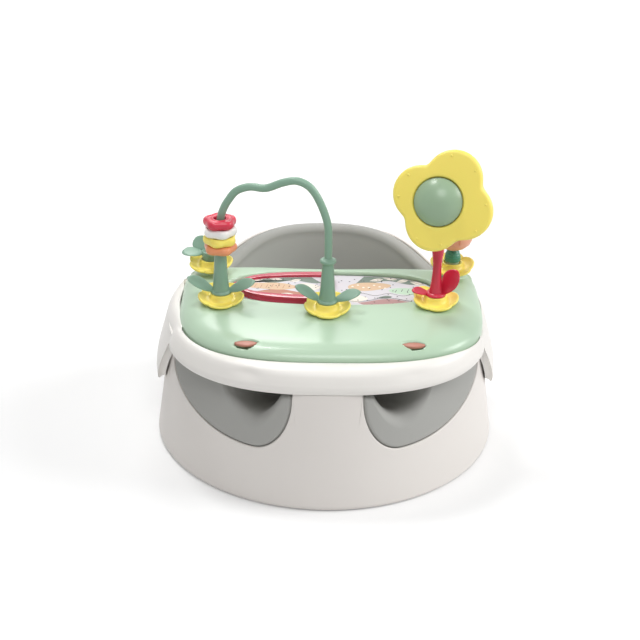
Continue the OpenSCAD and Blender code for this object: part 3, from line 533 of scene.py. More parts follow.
def build_tray_base():
    turns = np.linspace(-90, 270, 2881)
    p = lip_point(turns)
    right = p[(turns < 90) & (p[:, 1] < hollow_y(p[:, 0], REAR_Y + TRIM))]
    # from the rear left corner round the front to the rear right corner
    even = even_points(np.vstack([right[::-1] * [-1, 1], right[1:]]), 640)
    normal = normals(np.gradient(even, axis=0))
    if normal[320, 1] > 0:
        normal = -normal
    length, radius = run_length(even), np.linalg.norm(even, axis=1)
    lip = np.array(LIP_SECTION)
    # a wing hangs under the top of the lip's section
    top = lip[lip[:, 1] > 144]
    wing = np.vstack([np.stack([181.6 - top[:, 0], top[:, 1]], -1),
                      [[shell_r(z) + d, z] for d, z in WING_SECTION]])

    def traced(sec, count):
        """Distances down a section, and its smooth curves."""
        v = run_length(sec)
        fine = np.linspace(0, v[-1], count)
        return v, fine, *(curve(np.stack([v, sec[:, k]], -1), fine) for k in (0, 1))
    lip_v, lip_fine, lip_in, lip_z = traced(lip, 400)
    wing_v, wing_fine, wing_r, wing_z = traced(wing, 800)
    height = mix(0.2, 1.0, smooth(np.minimum(length, length[-1] - length) / 34))

    def at(values, s):
        return np.interp(s, length, values)

    def section(v, bx, by, r, w):
        """Distance in from the outline, and height, at a distance v down the section."""
        inset = mix(np.interp(v, lip_fine, lip_in), r - np.interp(v, wing_fine, wing_r), w)
        z = mix(np.interp(v, lip_fine, lip_z), np.interp(v, wing_fine, wing_z), w)
        for dx, deep in FINGER_DENTS:
            dent = deep * np.exp(-((bx - dx) / 13) ** 2 - ((z - 149) / 5) ** 2)
            inset = inset + np.where(by < -90, dent, 0)
        return inset, z

    def place(s, v, depth):
        bx, by = at(even[:, 0], s), at(even[:, 1], s)
        nx, ny, r = at(normal[:, 0], s), at(normal[:, 1], s), at(radius, s)
        w = wing_share(by)
        depth = depth * (1 + 1.9 * w * smooth(1 - (at(hem_v, s) - v) / 13))
        inset, z = section(v, bx, by, r, w)
        before, after = section(v - 0.4, bx, by, r, w), section(v + 0.4, bx, by, r, w)
        # outward face normal in the section
        out = -normals(np.stack([before[0] - after[0], after[1] - before[1]], -1))
        push = -inset - depth * out[:, 0]
        z = TRAY_LOW + (z - depth * out[:, 1] - TRAY_LOW) * at(height, s)
        return np.stack([bx + nx * push, by + ny * push, z], -1)

    # inner edge: where the section meets the room for the green tray
    width = np.clip(-toy_inset(even[:, 0], even[:, 1]) - 1.3, 3, 29)
    upper = np.stack([length, np.interp(-width, -lip[:, 0], lip_v)], -1)
    # hem: the lip's lower edge, and round the wings
    edge = np.array(WING_FRONT + WING_REAR[1:])
    hem_z = np.where(even[:, 1] < edge[0, 0], SKIRT_LOW, np.interp(even[:, 1], edge[:, 0], edge[:, 1]))
    lip_hem, wing_hem = (np.interp(-hem_z, -sec[2:, 1], v[2:]) for sec, v in ((lip, lip_v), (wing, wing_v)))
    hem_v = mix(lip_hem, wing_hem, wing_share(even[:, 1]))
    lower = np.stack([length, hem_v], -1)
    sheet_between("tray_lip", upper, lower, place, 3.0, 0.9, 1.2, 72, TRAY_WHITE, "tray", node="tray_base")


def plate(name, outline, low, high, material, body, bevel, **more):
    """A flat board with eased edges."""
    n = normals(np.roll(outline, -1, 0) - np.roll(outline, 1, 0))
    if twice_area(outline) < 0:
        n = -n
    grid = [np.column_stack([outline - n * inset, np.full(len(n), low + z)])
            for inset, z in edge_rows(high - low, bevel, 4)]
    loft(name, grid, material, body, **more)


def build_tray_floor():
    p = lip_point(np.linspace(-90, 270, 721)[:-1]) * 0.975
    p[:, 1] = np.minimum(p[:, 1], hollow_y(p[:, 0], REAR_Y + TRIM))
    plate("tray_floor", p, TRAY_LOW, TRAY_FLOOR, TRAY_WHITE, "tray", 0.8)


# --- activity tray ---

TRAY_TOP, MINT_LOW = 169, 146.6
WELL_X, WELL_Y, WELL_L, WELL_W, WELL_N, WELL_FLOOR = 6, 7, 117, 44, 2.6, 163.5
STATIONS = [(-117, -33), (0, -54), (120, -33), (-134, 50), (146, 50)]
BOSS_TOP, REAR_LIFT = 173, 4
LATCH_X, LATCH_Y, LATCH_Z, LATCH_MID = 88, -127, 163, 2.2
LATCH_L, LATCH_W, LATCH_D, POCKET_D = 24, 24, 4.7, 7.7
# The green tray's top: distance in from its outline, and height
DOME_CURVE = [(0, 153.5), (0.25, 155.6), (0.8, 157.6), (1.8, 159.5), (3.5, 161.5), (6.5, 163.7), (10, 165.6),
              (14, 167.0), (20, 168.3), (27, 169.1), (40, 169.8), (62, 170.2)]


def eye_level(x, y, grow):
    return (np.abs(x - WELL_X) / (WELL_L + grow)) ** WELL_N + (np.abs(y - WELL_Y) / (WELL_W + grow)) ** WELL_N


def eye_distance(x, y):
    """Distance of a point outside the card well."""
    return bisect(lambda grow: eye_level(x, y, grow) > 1, -5.0, 20.0, 24)


def tray_height(x, y):
    """Height of the green tray's top face."""
    h = curve(DOME_CURVE, np.clip(toy_inset(x, y), 0, 62))
    edge, fillet = 7.0, 2.6                    # roundings at the tray's rear and at the well
    back = np.clip(hollow_y(x, REAR_Y) - y, 0, edge)
    roll = TRAY_TOP + 0.6 - edge + np.sqrt(np.clip(edge ** 2 - (edge - back) ** 2, 0, None))
    h = soft_min(h, roll, 2.0)
    for k, (sx, sy) in enumerate(STATIONS):
        r = np.hypot(x - sx, y - sy)
        top = BOSS_TOP + (REAR_LIFT if k > 2 else 0)
        cone = top - (top - TRAY_TOP + 6) * smooth((r - 13.2) / (19 - 13.2)) - 0.6 * smooth((r - 11) / 3)
        h = np.where(r < 24, -soft_min(-h, -cone, 2.2), h)
    for side in (-1, 1):
        u = (x - LATCH_MID - side * LATCH_X) / (LATCH_W / 2 + 0.8)
        v = y - LATCH_Y
        bow = np.clip(1 - u * u, 0, None)
        out = np.where(v < 0, -v - POCKET_D * bow, v - LATCH_D * bow) + 6 * np.clip(np.abs(u) - 1, 0, 3)
        near = (np.abs(u) < 1.4) & (np.abs(v) < 16)
        pocket = mix(LATCH_Z - 4.2, 172, smooth((out + 0.3) / 1.2))
        h = np.where(near, soft_min(h, pocket, 0.8), h)
    e = np.clip(eye_distance(x, y), 0, fillet)
    return h - (fillet - np.sqrt(np.clip(fillet ** 2 - (fillet - e) ** 2, 0, None)))


def ray_reach(inside, turns, high):
    """Distance from the well's middle at which a shape ends, along each direction."""
    return bisect(lambda r: inside(WELL_X + r * np.cos(turns), WELL_Y + r * np.sin(turns)), 1.0, high, 34)


def build_mint():
    def reaches(turns):
        """How far the tray's outline and the well's edge lie along each direction."""
        out = ray_reach(lambda x, y: (toy_level(x, y, 0.0) < 1) & (y < hollow_y(x, REAR_Y)), turns, 260.0)
        return out, ray_reach(lambda x, y: eye_level(x, y, 0.0) < 1, turns, 200.0)

    def share(r):
        along = run_length(np.stack([r * np.cos(fine), r * np.sin(fine)], -1))
        return along / along[-1]
    fine = np.linspace(0, 2 * pi, 7201)
    out_r, eye_r = reaches(fine)
    turns = np.interp(np.linspace(0, 1, 1081)[:-1], 0.5 * share(out_r) + 0.5 * share(eye_r), fine)
    out_r, eye_r = reaches(turns)
    grid = []

    def row(r, z=None):
        """A row of points at a height, or else on the top face."""
        x, y = WELL_X + r * np.cos(turns), WELL_Y + r * np.sin(turns)
        grid.append(np.stack([x, y, tray_height(x, y) if z is None else np.full(len(x), z)], -1))
    for inset, z in ((3, MINT_LOW), (0.6, MINT_LOW), (0, MINT_LOW + 0.6), (0, 150.0)):
        row(out_r - inset, z)
    width = out_r - eye_r
    near = [0, 0.12, 0.35, 0.7, 1.2, 1.9, 2.8, 4, 5.4, 7, 8.8]
    for e in near:
        row(out_r - np.minimum(e, width * 0.45 * e / near[-1]))
    start = out_r - np.minimum(near[-1], width * 0.45)
    last = 2.8 / np.maximum(0.25, np.abs(np.sin(turns)) ** 0.6)
    end = eye_r + np.minimum(last, width * 0.4)
    for t in np.linspace(0, 1, 118)[1:]:
        row(mix(start, end, t))
    for t in np.linspace(0, 1, 9)[1:]:
        row(mix(end, eye_r, t ** 0.8))
    row(eye_r, WELL_FLOOR - 1.5)
    row(eye_r + 2.5, WELL_FLOOR - 1.5)
    row(out_r - 3, MINT_LOW + 2)
    loft("mint_tray", grid, MINT, "activity", wrap_rows=True, node="activity_tray")


# --- latches, hinge and printed cards ---

CARD_TOP, PAGE_TOP = 164.3, 169.35       # upper faces of the well's card and of the page's card
PIN_Z, HINGE_HALF = 173.9, 26


def build_latch(name, side, body):
    x0, half, rear = LATCH_MID + side * LATCH_X, LATCH_W / 2, LATCH_Y + LATCH_L
    u = np.linspace(-1, 1, 41)
    tip = np.column_stack([x0 + half * u, LATCH_Y - LATCH_D * (1 - u * u)])
    outline = np.vstack([tip, [(x0 + half, rear), (x0 - half, rear)]])
    plate(name, outline, LATCH_Z, LATCH_Z + 3, LATCH, body, 0.9, node=name)


def build_lug(name, y):
    """One of the two ears that hold the flip page's pin."""
    r, foot = 3.0, WELL_FLOOR - 1.5
    top = [(r * cos(a), PIN_Z + r * sin(a)) for a in np.linspace(0, pi, 17)]
    side = np.array([(r, foot)] + top + [(-r, foot)])
    grid = []
    for e, dy in ((0.5, 0.0), (0.1, 0.15), (0.0, 0.5), (0.0, 3.5), (0.1, 3.85), (0.5, 4.0)):
        q = side * [1 - e / r, 1]
        q[1:-1, 1] -= e * np.clip((q[1:-1, 1] - PIN_Z) / r, 0, 1)
        grid.append(np.column_stack([WELL_X + q[:, 0], np.full(len(q), y + dy), q[:, 1]]))
    loft(name, grid, MINT, "activity")


def turned(p, turn, at):
    """Flat points turned by an angle in degrees and moved to a place."""
    a = radians(turn)
    return p @ np.array([[cos(a), sin(a)], [-sin(a), cos(a)]]) + at


def blob(cx, cy, rx, ry, turn=0.0, wave=0.0, lobes=3, count=48):
    t = around(count)
    r = 1 + wave * np.cos(lobes * t)
    return turned(np.column_stack([rx * r * np.cos(t), ry * r * np.sin(t)]), turn, (cx, cy))


def leaf_outline(cx, cy, length, width, turn):
    u = np.linspace(-1, 1, 17)
    edge = width / 2 * (1 - u * u) * (1 + 0.25 * u)
    near, far = (np.column_stack([u * length / 2, side * edge]) for side in (1, -1))
    return turned(np.vstack([near, far[::-1][1:-1]]), turn, (cx, cy))


def field(x, far, near):
    """A printed field between a straight side and a wavy one."""
    return np.vstack([np.column_stack([x, np.full(len(x), far)]), np.column_stack([x, near])[::-1]])


def stroke(points, width):
    """Outline of an ink line through points."""
    p = np.asarray(points, float)
    n = normals(np.gradient(p, axis=0)) * -width / 2
    return np.vstack([p + n, (p - n)[::-1]])


class Print:
    """Shapes printed on a card, one layer over the other, kept inside the card's edge."""

    def __init__(self, name, z, body, inside):
        self.name, self.z, self.body, self.inside = name, z, body, inside
        self.count = 0

    def level(self, q):
        cx, cy, rx, ry = self.inside
        return (abs(q[0] - cx) / rx) ** 2.6 + (abs(q[1] - cy) / ry) ** 2.6

    def add(self, outline, material):
        p = np.array(outline, float)
        cx, cy, rx, _ = self.inside
        centre = np.array([np.clip(p[:, 0].mean(), cx - rx * 0.8, cx + rx * 0.8), cy])
        for q in p:
            if self.level(q) > 1:
                low, high = 0.0, 1.0
                for _ in range(20):
                    mid = (low + high) / 2
                    low, high = (mid, high) if self.level(centre + (q - centre) * mid) < 1 else (low, mid)
                q[:] = centre + (q - centre) * low
        if twice_area(p) < 0:
            p = p[::-1]
        self.count += 1
        height = np.full(len(p), self.z + 0.02 + 0.004 * self.count)
        make("%s_%02d" % (self.name, self.count), np.column_stack([p, height]), [range(len(p))], material,
             self.body, slot=self.name)

    def leaf(self, x, y, turn, size, vein, material):
        """A leaf and its vein."""
        self.add(leaf_outline(x, y, *size, turn), material)
        a = radians(turn)
        reach = vein * np.array([cos(a), sin(a)])
        self.add(stroke([(x, y) - reach, (x, y) + reach], 0.6), INK_DARK)

    def dots(self, places, r):
        for x, y in places:
            self.add(blob(x, y, r, r, count=8), INK_DARK)


def build_prints():
    rng = np.random.default_rng(7)
    card = Print("card_print", CARD_TOP, "activity", (WELL_X, WELL_Y, WELL_L - 2.5, WELL_W - 2.5))
    x = np.linspace(34, 122, 45)
    card.add(field(x, 60.0, 31 + 5 * np.sin(x / 9.0)), INK_GREEN)
    card.add(field(x, -50.0, -17 + 5 * np.cos(x / 11.0)), INK_ROSE)
    card.add(blob(48, 20, 25, 11, turn=8, wave=0.06), INK_TAN)
    card.add(blob(92, 8, 21, 9, turn=-6), INK_MINT)
    card.add(blob(33, -12, 12, 9, wave=0.1, lobes=4), INK_CREAM)
    for k in range(7):
        card.add(blob(30 + 6.2 * k, 20 + 4 * sin(k * 1.9), 1.5, 1.5, count=10), INK_CREAM)
    for k in range(5):
        y = 5.5 + 2 * sin(k)
        card.add(stroke([(78 + 7 * k, y), (80 + 7 * k, y + 6)], 0.7), INK_DARK)
    leaves = [(58, 38, 20), (74, 42, -15), (88, 36, 30), (104, 30, -30), (66, -8, 10), (112, -6, 70)]
    for k, (lx, ly, turn) in enumerate(leaves):
        card.leaf(lx, ly, turn, (17, 7), 7, INK_CREAM if k < 4 else INK_GREEN)
    x = np.linspace(16, 118, 60)
    card.add(stroke(np.column_stack([x, -1 + 3 * np.sin(x / 5.0)]), 0.7), INK_DARK)
    card.add(stroke(np.column_stack([x, -15 + 5 * np.cos(x / 11.0)]), 0.8), INK_DARK)
    card.dots(rng.uniform((14, -28), (112, 44), (46, 2)), 0.9)
    page = Print("page_print", PAGE_TOP, "page", (WELL_X - 10.4, WELL_Y, 90.5, 25.5))
    x = np.linspace(-104, -5.5, 50)
    page.add(field(x, -25.0, -5 + 5 * np.sin(x / 12.0)), INK_TERRA)
    page.add(field(x, 40.0, 20 + 3.5 * np.sin(x / 8.0)), INK_GREEN)
    page.add(blob(-62, 8, 30, 9, turn=-4, wave=0.05, lobes=5), INK_TAN)
    page.add(blob(-22, 6, 14, 10, wave=0.08, lobes=3), INK_CREAM)
    for k in range(9):
        y = 3.5 + 1.5 * sin(k * 2.0)
        page.add(stroke([(-88 + 6.4 * k, y), (-86 + 6.4 * k, y + 8.5)], 0.6), INK_TERRA)
    leaves = [(-80, 24, 15), (-58, 27, -10), (-36, 23, 25), (-14, -12, -40), (-70, -13, 10), (-44, -13, -12)]
    for lx, ly, turn in leaves:
        page.leaf(lx, ly, turn, (15, 6), 6, INK_CREAM)
    page.dots(rng.uniform((-94, -14), (-8, 29), (40, 2)), 0.8)


# --- toy stations ---

PETAL_TOP, PETAL_T, PETAL_R = 176, 3.0, 25.0
POST_R = 4.35                              # clear of the posts that carry the turning toys
STEM_H, MID_STEM_H, FOOT_R = 229, 232, 9.4
LEAF_T, LEAF_ROOT = 3.6, 7.0               # thickness, and start of a leaf beside its stem's axis


def build_petals(name, k, turn):
    """Five cupped petals in one piece, round a raised ring that holds the stem's foot."""
    z0 = PETAL_TOP - 1.6 + (REAR_LIFT if k > 2 else 0)
    t = around(240)
    lobe = np.abs(np.cos(2.5 * (t - radians(turn))))
    edge = PETAL_R * (0.84 + 0.16 * lobe ** 0.55)
    high = 0.45 + 0.55 * lobe ** 0.6
    front = np.clip(-np.sin(t), 0, 1)
    rise, tilt, half, tip = 6.0, 0.10, PETAL_T / 2, 0.94

    def upper(u):
        r = mix(13.0, edge, u)
        cup = (rise - 3.6 * front) * high * u ** 1.7 - smooth(u / 0.3) * (1 - u)
        return r, z0 + cup + tilt * r * np.sin(t)
    rows = [(6.0, z0 - PETAL_T), (9.0, z0 - PETAL_T)]
    for u in np.linspace(0.0, tip, 14):
        r, z = upper(u)
        rows.append((r, z - PETAL_T + 0.5 * (1 - u)))
    r, z = upper(tip)
    rows += [(r + half * 1.1 * cos(a), z - half + half * sin(a)) for a in arc(-80, 80, 9)]
    rows += [upper(u) for u in np.linspace(tip, 0.0, 20)]
    top = z0 + 5.6
    rows += [(11.0 + 1.2 * cos(a), top - 1.2 + 1.2 * sin(a)) for a in arc(0, 90, 6)]
    rows += [(9.8, top), (9.7, top - 0.4), (9.7, z0), (6.0, z0)]
    loft(name, circles(t, rows, STATIONS[k]), YELLOW, "activity", wrap_rows=True, node=name)


def leaf_points(length, width, cup):
    """A blunt leaf along +X, narrow at its root and cupped across."""
    rows = []
    t = around(24)
    for u in np.linspace(0.0, 1.0, 40) ** 0.9:
        half = width / 2 * max(0.02, sin(pi * min(1, 0.09 + 0.91 * u) ** 1.45)) ** 0.58
        across = half * np.cos(t)
        body = LEAF_T / 2 * min(1, sqrt(max(0.0, 1 - u)) * 3.2 + 0.02)
        z = body * np.sin(t) + cup * (across / (width / 2)) ** 2 * (0.3 + 0.7 * u)
        rows.append(np.stack([np.full(len(t), u * length), across, z], -1))
    return np.array(rows)


def build_leaf(name, at, turn, rise, length, width, material, body, twist, cup=2.2):
    shape = leaf_points(length, width, cup)
    a = radians(turn)
    m = (Matrix.Rotation(a, 4, "Z") @ Matrix.Rotation(radians(-rise), 4, "Y")
         @ Matrix.Rotation(radians(twist), 4, "X"))
    p = shape.reshape(-1, 3) @ np.array(m.to_3x3()).T
    p = p + [at[0] + LEAF_ROOT * cos(a), at[1] + LEAF_ROOT * sin(a), at[2]]
    loft(name, p.reshape(shape.shape), material, body)


def build_leaf_pair(name, k, lengths, widths, rises, material, twists):
    """Two leaves to the sides, on a collar round the stem."""
    at = STATIONS[k]
    collar = [(9.7, PETAL_TOP + 4.4), (11.2, PETAL_TOP + 4.4), (11.0, PETAL_TOP + 6), (9.7, PETAL_TOP + 8)]
    lathe(name + "_collar", rounded_rows(collar, 0.8), at, material, "activity", node=name)
    for i in (0, 1):
        build_leaf("%s_%d" % (name, i + 1), (*at, PETAL_TOP + 5.6), 180 * i, rises[i], lengths[i], widths[i],
                   material, "activity", twists[i])


# Leaves of the rear left station: turn, rise, length, width and twist
ROSETTE_LEAVES = [(182, 2, 26, 18, -12), (138, 40, 21, 19, -45), (20, 34, 25, 17, 20), (-75, 26, 20, 16, 0)]


def build_rosette():
    at = STATIONS[3]
    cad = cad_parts["leaf_rosette"]
    low = 1000 * min((cad.matrix_world @ Vector(c)).z for c in cad.bound_box)
    hub = rounded_rows([(POST_R, low), (10, low), (10, low + 6), (POST_R, low + 6)], 0.9)
    lathe("rosette_hub", hub, at, TEAL, "rosette", node="leaf_rosette")
    for i, (turn, rise, length, width, twist) in enumerate(ROSETTE_LEAVES):
        build_leaf("rosette_leaf_%d" % (i + 1), (*at, low + 3.0), turn, rise, length, width, TEAL, "rosette",
                   twist, 2.4)


STEM_FOOT = [(0.1, PETAL_TOP + 0.2), (FOOT_R, PETAL_TOP + 0.2)]


def flared(top_r, top_z):
    """Rows of a stem that narrows above its foot."""
    return [(mix(FOOT_R, top_r, t ** 0.7), mix(PETAL_TOP + 8, top_z, t)) for t in np.linspace(0, 1, 25)]


WIRE_R = 4.2
# Places of the wire: distance from the left stem toward the middle one, and height
WIRE_ROUTE = [(0, 218), (0, 250), (0.8, 267), (4.2, 279), (9.5, 289), (18.5, 300.5), (33, 306.5), (51, 306.5),
              (69, 314), (84, 317), (98, 311), (109, 295), (117.4, 272), (118.87, 252), (118.87, 221)]


def spline_through(points):
    """Points along a smooth line through all the given ones."""
    p = np.array(points, float)
    p = np.vstack([p[:1], p, p[-1:]])
    out = []
    for k in range(1, len(p) - 2):
        a, b, c, d = p[k - 1], p[k], p[k + 1], p[k + 2]
        for t in np.linspace(0, 1, 12, endpoint=False):
            out.append(0.5 * (2 * b + (c - a) * t + (2 * a - 5 * b + 4 * c - d) * t * t
                              + (3 * b - a - 3 * c + d) * t**3))
    out.append(p[-2])
    return np.array(out)


def build_wire():
    p = spline_through(WIRE_ROUTE)
    a, b = np.array(STATIONS[0], float), np.array(STATIONS[1], float)
    d = (b - a) / np.linalg.norm(b - a)
    centres = np.column_stack([a[0] + d[0] * p[:, 0], a[1] + d[1] * p[:, 0], p[:, 1]])
    tube("bead_rail", centres, WIRE_R, TEAL, "activity", node="bead_wire")


def build_stems():
    left = STEM_FOOT + flared(6.4, STEM_H - 1.6) + [(6.0, STEM_H - 0.6), (5.0, STEM_H), (0.1, STEM_H)]
    lathe("left_stem", left, STATIONS[0], TEAL, "activity", node="stem_left")
    knob = [(8.2, 5.4), (8.8, 4.4), (8.9, 3.2), (8.5, 2.0), (7.4, 1.4), (5.6, 1.0), (4.6, 0), (0.1, 0)]
    mid = STEM_FOOT + flared(6.2, MID_STEM_H - 6.4) + [(r, MID_STEM_H - down) for r, down in knob]
    lathe("centre_stem", rounded_rows(mid, 0.8), STATIONS[1], TEAL, "activity", node="stem_centre")


BEAD_H, BEAD_GAP, BEAD_R = 9.6, 0.3, 18.0


def build_bead(colour, i, fat, turn, material):
    """A wavy disc with a raised soft rim round its bore."""
    half, bore, soft, dish = BEAD_H / 2, 6.4, 1.6, 0.9
    mid = STEM_H + BEAD_GAP + i * (BEAD_H + BEAD_GAP) + half
    t = around(160)
    outer = BEAD_R + 0.6 - 1.15 * (1 - np.cos(5 * (t - radians(turn))))
    side = fat * half
    rows = [(outer - side + side * cos(a), mid + half * sin(a)) for a in arc(-90, 90, 19)]
    rows += [(mix(outer - side, bore + soft, u), mid + half - dish * sin(pi * u) ** 0.8)
             for u in np.linspace(0, 1, 8)[1:-1]]
    rim = [(bore + soft - soft * sin(a), half - soft * (1 - cos(a))) for a in arc(0, 90, 6)]
    rows += [(r, mid + z) for r, z in rim] + [(r, mid - z) for r, z in rim[::-1]]
    loft(colour + "_bead", circles(t, rows, STATIONS[0]), material, "bead_%d" % (i + 1), wrap_rows=True,
         node="bead_" + colour)


# --- flower ---

HUB_Z, FLOWER_REACH, FLOWER_T, TILT, TURN = 291, 20, 15, 18, 13
FLOWER_TURNS, FLOWER_REACHES = (62, 160, 262, 345), (59.5, 50.5, 53, 59)
LOBE_R, LOBE_BLEND = 30, 14
DOME_R, DOME_H = 25.5, 12

FLOWER_FRAME = (Matrix.Translation((120, -33, HUB_Z)) @ Matrix.Rotation(radians(-TURN), 4, "Z")
                @ Matrix.Rotation(radians(90 - TILT), 4, "X") @ Matrix.Translation((0, 0, FLOWER_REACH)))


def in_flower(grid):
    """Points that are given from the flower's middle, with its face along Z."""
    p, m = np.array(grid), np.array(FLOWER_FRAME)
    return (p.reshape(-1, 3) @ m[:3, :3].T + m[:3, 3]).reshape(p.shape)


def flower_edge(t):
    total = 0
    for turn, reach in zip(FLOWER_TURNS, FLOWER_REACHES):
        d, a = reach - LOBE_R, t - radians(turn)
        q = np.clip(LOBE_R ** 2 - (d * np.sin(a)) ** 2, 0, None)
        total = total + np.maximum(1, d * np.cos(a) + np.sqrt(q)) ** LOBE_BLEND
    return total ** (1 / LOBE_BLEND)


def build_flower():
    t = around(288)
    edge = flower_edge(t)
    half, soft, bore = FLOWER_T / 2, 4.2, 3.9
    rows = [(bore, -half)] + [((edge - soft) * u, -half) for u in np.linspace(0.12, 1, 14)]
    rows += [(edge - soft + soft * cos(a), copysign(half - soft, a) + soft * sin(a))
             for a in arc(-90, 90, 17)[1:]]
    rows += [(mix(DOME_R + 2.6, edge - soft, u), half + 0.5 * (1 - u * u)) for u in np.linspace(1, 0, 20)[1:]]
    # groove round the dome
    rows += [(DOME_R + 1.7, half + 0.1), (DOME_R + 1.2, half - 0.6), (DOME_R + 1.1, half - 2.6),
             (bore, half - 2.6)]
    loft("flower_petals", in_flower(circles(t, rows)), YELLOW, "flower", wrap_rows=True, node="flower_head")
    ball = (DOME_R ** 2 + DOME_H ** 2) / (2 * DOME_H)
    rows = [(0.1, half - 2.3), (DOME_R - 0.6, half - 2.3), (DOME_R, half - 1.9), (DOME_R + 0.1, half + 0.5)]
    for a in np.linspace(0, 1, 30):
        r = DOME_R * cos(a * pi / 2)
        rows.append((max(r, 0.05), half + DOME_H - ball + sqrt(ball ** 2 - r * r)))
    loft("flower_button", in_flower(circles(t, rows)), DOME, "flower", node="flower_dome")
    dot = [(1.5, -0.4), (1.4, 0.2), (1.1, 0.6), (0.6, 0.85), (0.05, 0.92)]
    for i, turn in enumerate([turn + side for turn in FLOWER_TURNS for side in (-17, 17)]):
        a = radians(turn)
        reach = flower_edge(a) - 6.5
        at = (reach * cos(a), reach * sin(a))
        grid = in_flower(circles(around(16), [(r, half + z) for r, z in dot], at))
        loft("flower_dot_%02d" % (i + 1), grid, YELLOW, "flower")


def build_red_stem():
    waist, neck, waist_z = 4.8, 7.0, 214
    rows = list(STEM_FOOT)
    for z in np.linspace(PETAL_TOP + 7, HUB_Z - 8, 40):
        r = (mix(waist, FOOT_R, ((waist_z - z) / (waist_z - PETAL_TOP)) ** 2) if z < waist_z
             else mix(waist, neck, smooth((z - waist_z) / 26)))
        rows.append((r, z))
    rows += [(neck + 1.4, HUB_Z - 2), (neck + 1.6, HUB_Z + 3), (neck - 1, HUB_Z + 6), (0.1, HUB_Z + 6.5)]
    lathe("red_stem", rows, STATIONS[2], RASP, "activity", node="stem_right")
    boss = [(0.1, -FLOWER_REACH), (7.8, -FLOWER_REACH), (8.0, -12), (8.0, -8.6), (7.4, -7.9), (0.1, -7.9)]
    loft("flower_axle_boss", in_flower(circles(around(64), boss)), RASP, "activity")


# --- dressed copies of CAD nodes ---

def eased(node, name, material, body, width, segments=3):
    """A copy of a CAD node with its edges eased."""
    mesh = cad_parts[node].data.copy()
    mesh.name = name
    bm = bmesh.new()
    bm.from_mesh(mesh)
    bmesh.ops.remove_doubles(bm, verts=bm.verts, dist=2e-6)
    bmesh.ops.dissolve_limit(bm, angle_limit=radians(0.5), verts=bm.verts, edges=bm.edges)
    bm.to_mesh(mesh)
    bm.free()
    mesh.materials.clear()
    mesh.materials.append(material)
    if "custom_normal" in mesh.attributes:
        mesh.attributes.remove(mesh.attributes["custom_normal"])
    obj = add_object(name, mesh)
    bevel = obj.modifiers.new("ease", "BEVEL")
    bevel.width, bevel.segments, bevel.limit_method = width * MM, segments, "ANGLE"
    bevel.angle_limit = radians(35)
    with bpy.context.temp_override(object=obj, active_object=obj, selected_objects=[obj]):
        bpy.context.view_layer.objects.active = obj
        bpy.ops.object.modifier_apply(modifier=bevel.name)
    obj.data.shade_smooth()
    obj.data.set_sharp_from_angle(angle=radians(32))
    enter(obj, material, body, node)


# --- build ---

build_shell()
build_seat()
build_tray_base()
build_tray_floor()
build_mint()
build_latch("latch_left", -1, "latch_l")
build_latch("latch_right", 1, "latch_r")
build_lug("hinge_lug_front", WELL_Y - HINGE_HALF - 4.3)
build_lug("hinge_lug_rear", WELL_Y + HINGE_HALF + 0.3)
build_prints()
for k, (place, turn) in enumerate([("left", -90), ("centre", -86), ("right", -76), ("rear_left", -70),
                                   ("rear_right", -60)]):
    build_petals("petals_" + place, k, turn)
build_stems()
build_wire()
build_red_stem()
build_leaf_pair("leaves_left", 0, (33, 34), (17, 17), (22, 28), TEAL, (22, -22))
build_leaf_pair("leaves_centre", 1, (31, 33), (16, 16), (20, 31), TEAL, (22, -22))
build_leaf_pair("leaves_right", 2, (32, 20), (23, 14), (60, 10), RASP, (40, -10))
build_bead("coral", 0, 1.0, 10, CORAL)
build_bead("yellow", 1, 0.7, 40, YELLOW)
build_bead("white", 2, 0.7, 0, PEARL)
build_bead("red", 3, 0.8, 25, RASP)
build_flower()
eased("page_frame", "page_ring", RASP_CLEAR, "page", 2.6, segments=5)
build_rosette()
eased("bud_cup", "tulip", BUD, "bud", 1.0)
# nodes that show their own shape
for material, names in [(WHITE, ["base_plate"]), (PAD, ["foot_pads"]), (TEAL, ["rosette_post"]),
                        (MINT, ["bud_post"]), (DEEP, ["bud_hub"]), (CARD, ["print_card", "page_card"]),
                        (STEEL, ["base_screws", "station_screws", "page_hinge_pin", "flower_spindle"])]:
    for name in names:
        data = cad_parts[name].data
        data.materials.clear()
        data.materials.append(material)

# --- stage, light and camera ---


def seen_directly(nodes, links):
    """1 for camera, mirror and see-through rays, 0 for the light that falls on the object."""
    path = add_node(nodes, "LightPath")
    last = path.outputs["Is Camera Ray"]
    for name in ("Is Glossy Ray", "Is Transmission Ray"):
        either = add_node(nodes, "Math", operation="MAXIMUM")
        links.new(last, either.inputs[0])
        links.new(path.outputs[name], either.inputs[1])
        last = either.outputs[0]
    return last


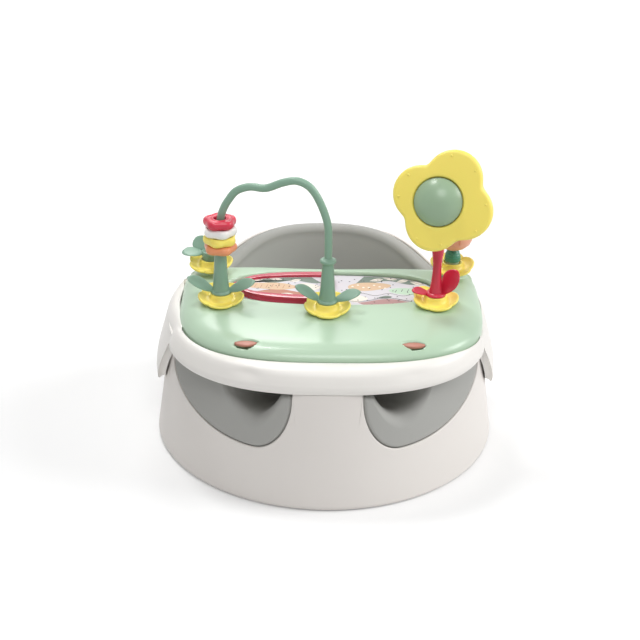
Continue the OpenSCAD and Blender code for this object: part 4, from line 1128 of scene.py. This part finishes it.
def build_stage():
    """A white floor. It keeps the shadow, and only what the camera sees of it is lifted to white."""
    mat = bpy.data.materials.new("floor_white")
    nodes, links = node_tree(mat)
    nodes.clear()
    out = add_node(nodes, "OutputMaterial")
    lit = add_node(nodes, "BsdfDiffuse", {"Color": (0.82, 0.82, 0.82, 1)})
    glow = add_node(nodes, "Emission", {"Color": (1, 1, 1, 1)})
    place = add_node(nodes, "TexCoord")
    reach = add_node(nodes, "VectorMath", operation="LENGTH")
    lift = add_node(nodes, "MapRange", {"From Min": 0.45, "From Max": 2.6, "To Min": 0.20, "To Max": 0.95},
                    interpolation_type="SMOOTHSTEP")
    share = add_node(nodes, "Math", operation="MULTIPLY")
    both = add_node(nodes, "AddShader")
    links.new(place.outputs["Object"], reach.inputs[0])
    links.new(reach.outputs["Value"], lift.inputs["Value"])
    links.new(seen_directly(nodes, links), share.inputs[0])
    links.new(lift.outputs["Result"], share.inputs[1])
    links.new(share.outputs[0], glow.inputs["Strength"])
    links.new(lit.outputs["BSDF"], both.inputs[0])
    links.new(glow.outputs["Emission"], both.inputs[1])
    links.new(both.outputs["Shader"], out.inputs["Surface"])
    mesh = bpy.data.meshes.new("floor")
    s = 6.0
    mesh.from_pydata([(-s, -s, 0), (s, -s, 0), (s, s, 0), (-s, s, 0)], [], [(0, 1, 2, 3)])
    mesh.materials.append(mat)
    floor = add_object("floor", mesh)


def lamp(name, place, size, power):
    """A round lamp that points at the object."""
    data = bpy.data.lights.new(name, "AREA")
    data.shape, data.size, data.energy = "DISK", size, power
    obj = add_object(name, data)
    obj.location = place
    obj.rotation_euler = (Vector((0, 0, 0.15)) - Vector(place)).to_track_quat("-Z", "Y").to_euler()


def build_light():
    world = bpy.data.worlds.new("studio")
    bpy.context.scene.world = world
    nodes, links = node_tree(world)
    sky = nodes["Background"]
    sky.inputs["Color"].default_value = (1, 1, 1, 1)
    sky.inputs["Strength"].default_value = 0.33
    plain = add_node(nodes, "Background", {"Color": (1, 1, 1, 1), "Strength": 1.0})
    mixer = add_node(nodes, "MixShader")
    links.new(seen_directly(nodes, links), mixer.inputs[0])
    links.new(sky.outputs[0], mixer.inputs[1])
    links.new(plain.outputs[0], mixer.inputs[2])
    links.new(mixer.outputs[0], nodes["World Output"].inputs["Surface"])
    data = bpy.data.lights.new("side", "SUN")
    data.energy, data.angle = 1.6, radians(30)
    sun = add_object("side", data)
    sun.rotation_euler = Vector((0.85, 0.0, 0.46)).to_track_quat("Z", "Y").to_euler()
    lamp("back", (-0.20, 1.15, 1.15), 0.6, 5.0)
    lamp("top", (-0.34, 0.22, 1.50), 0.3, 6.0)
    lamp("front", (0.05, -1.05, 1.60), 0.8, 9.0)


CAM_AT = (-0.0262, -1.3886, 0.8179)
CAM_YAW, CAM_PITCH, CAM_ROLL, CAM_LENS = 0.798, 26.321, 1.0, 76.29


def build_camera():
    yaw, pitch, roll = (radians(v) for v in (CAM_YAW, CAM_PITCH, CAM_ROLL))
    forward = Vector((sin(yaw) * cos(pitch), cos(yaw) * cos(pitch), -sin(pitch)))
    right = forward.cross(Vector((0, 0, 1))).normalized()
    up = right.cross(forward)
    right, up = right * cos(roll) + up * sin(roll), up * cos(roll) - right * sin(roll)
    data = bpy.data.cameras.new("camera")
    data.lens, data.sensor_width, data.sensor_fit = CAM_LENS, 36, "HORIZONTAL"
    cam = add_object("camera", data)
    cam.matrix_world = Matrix.Translation(CAM_AT) @ Matrix((right, up, -forward)).transposed().to_4x4()
    bpy.context.scene.camera = cam


build_stage()
build_light()
build_camera()
bpy.context.scene.view_settings.view_transform = "Standard"

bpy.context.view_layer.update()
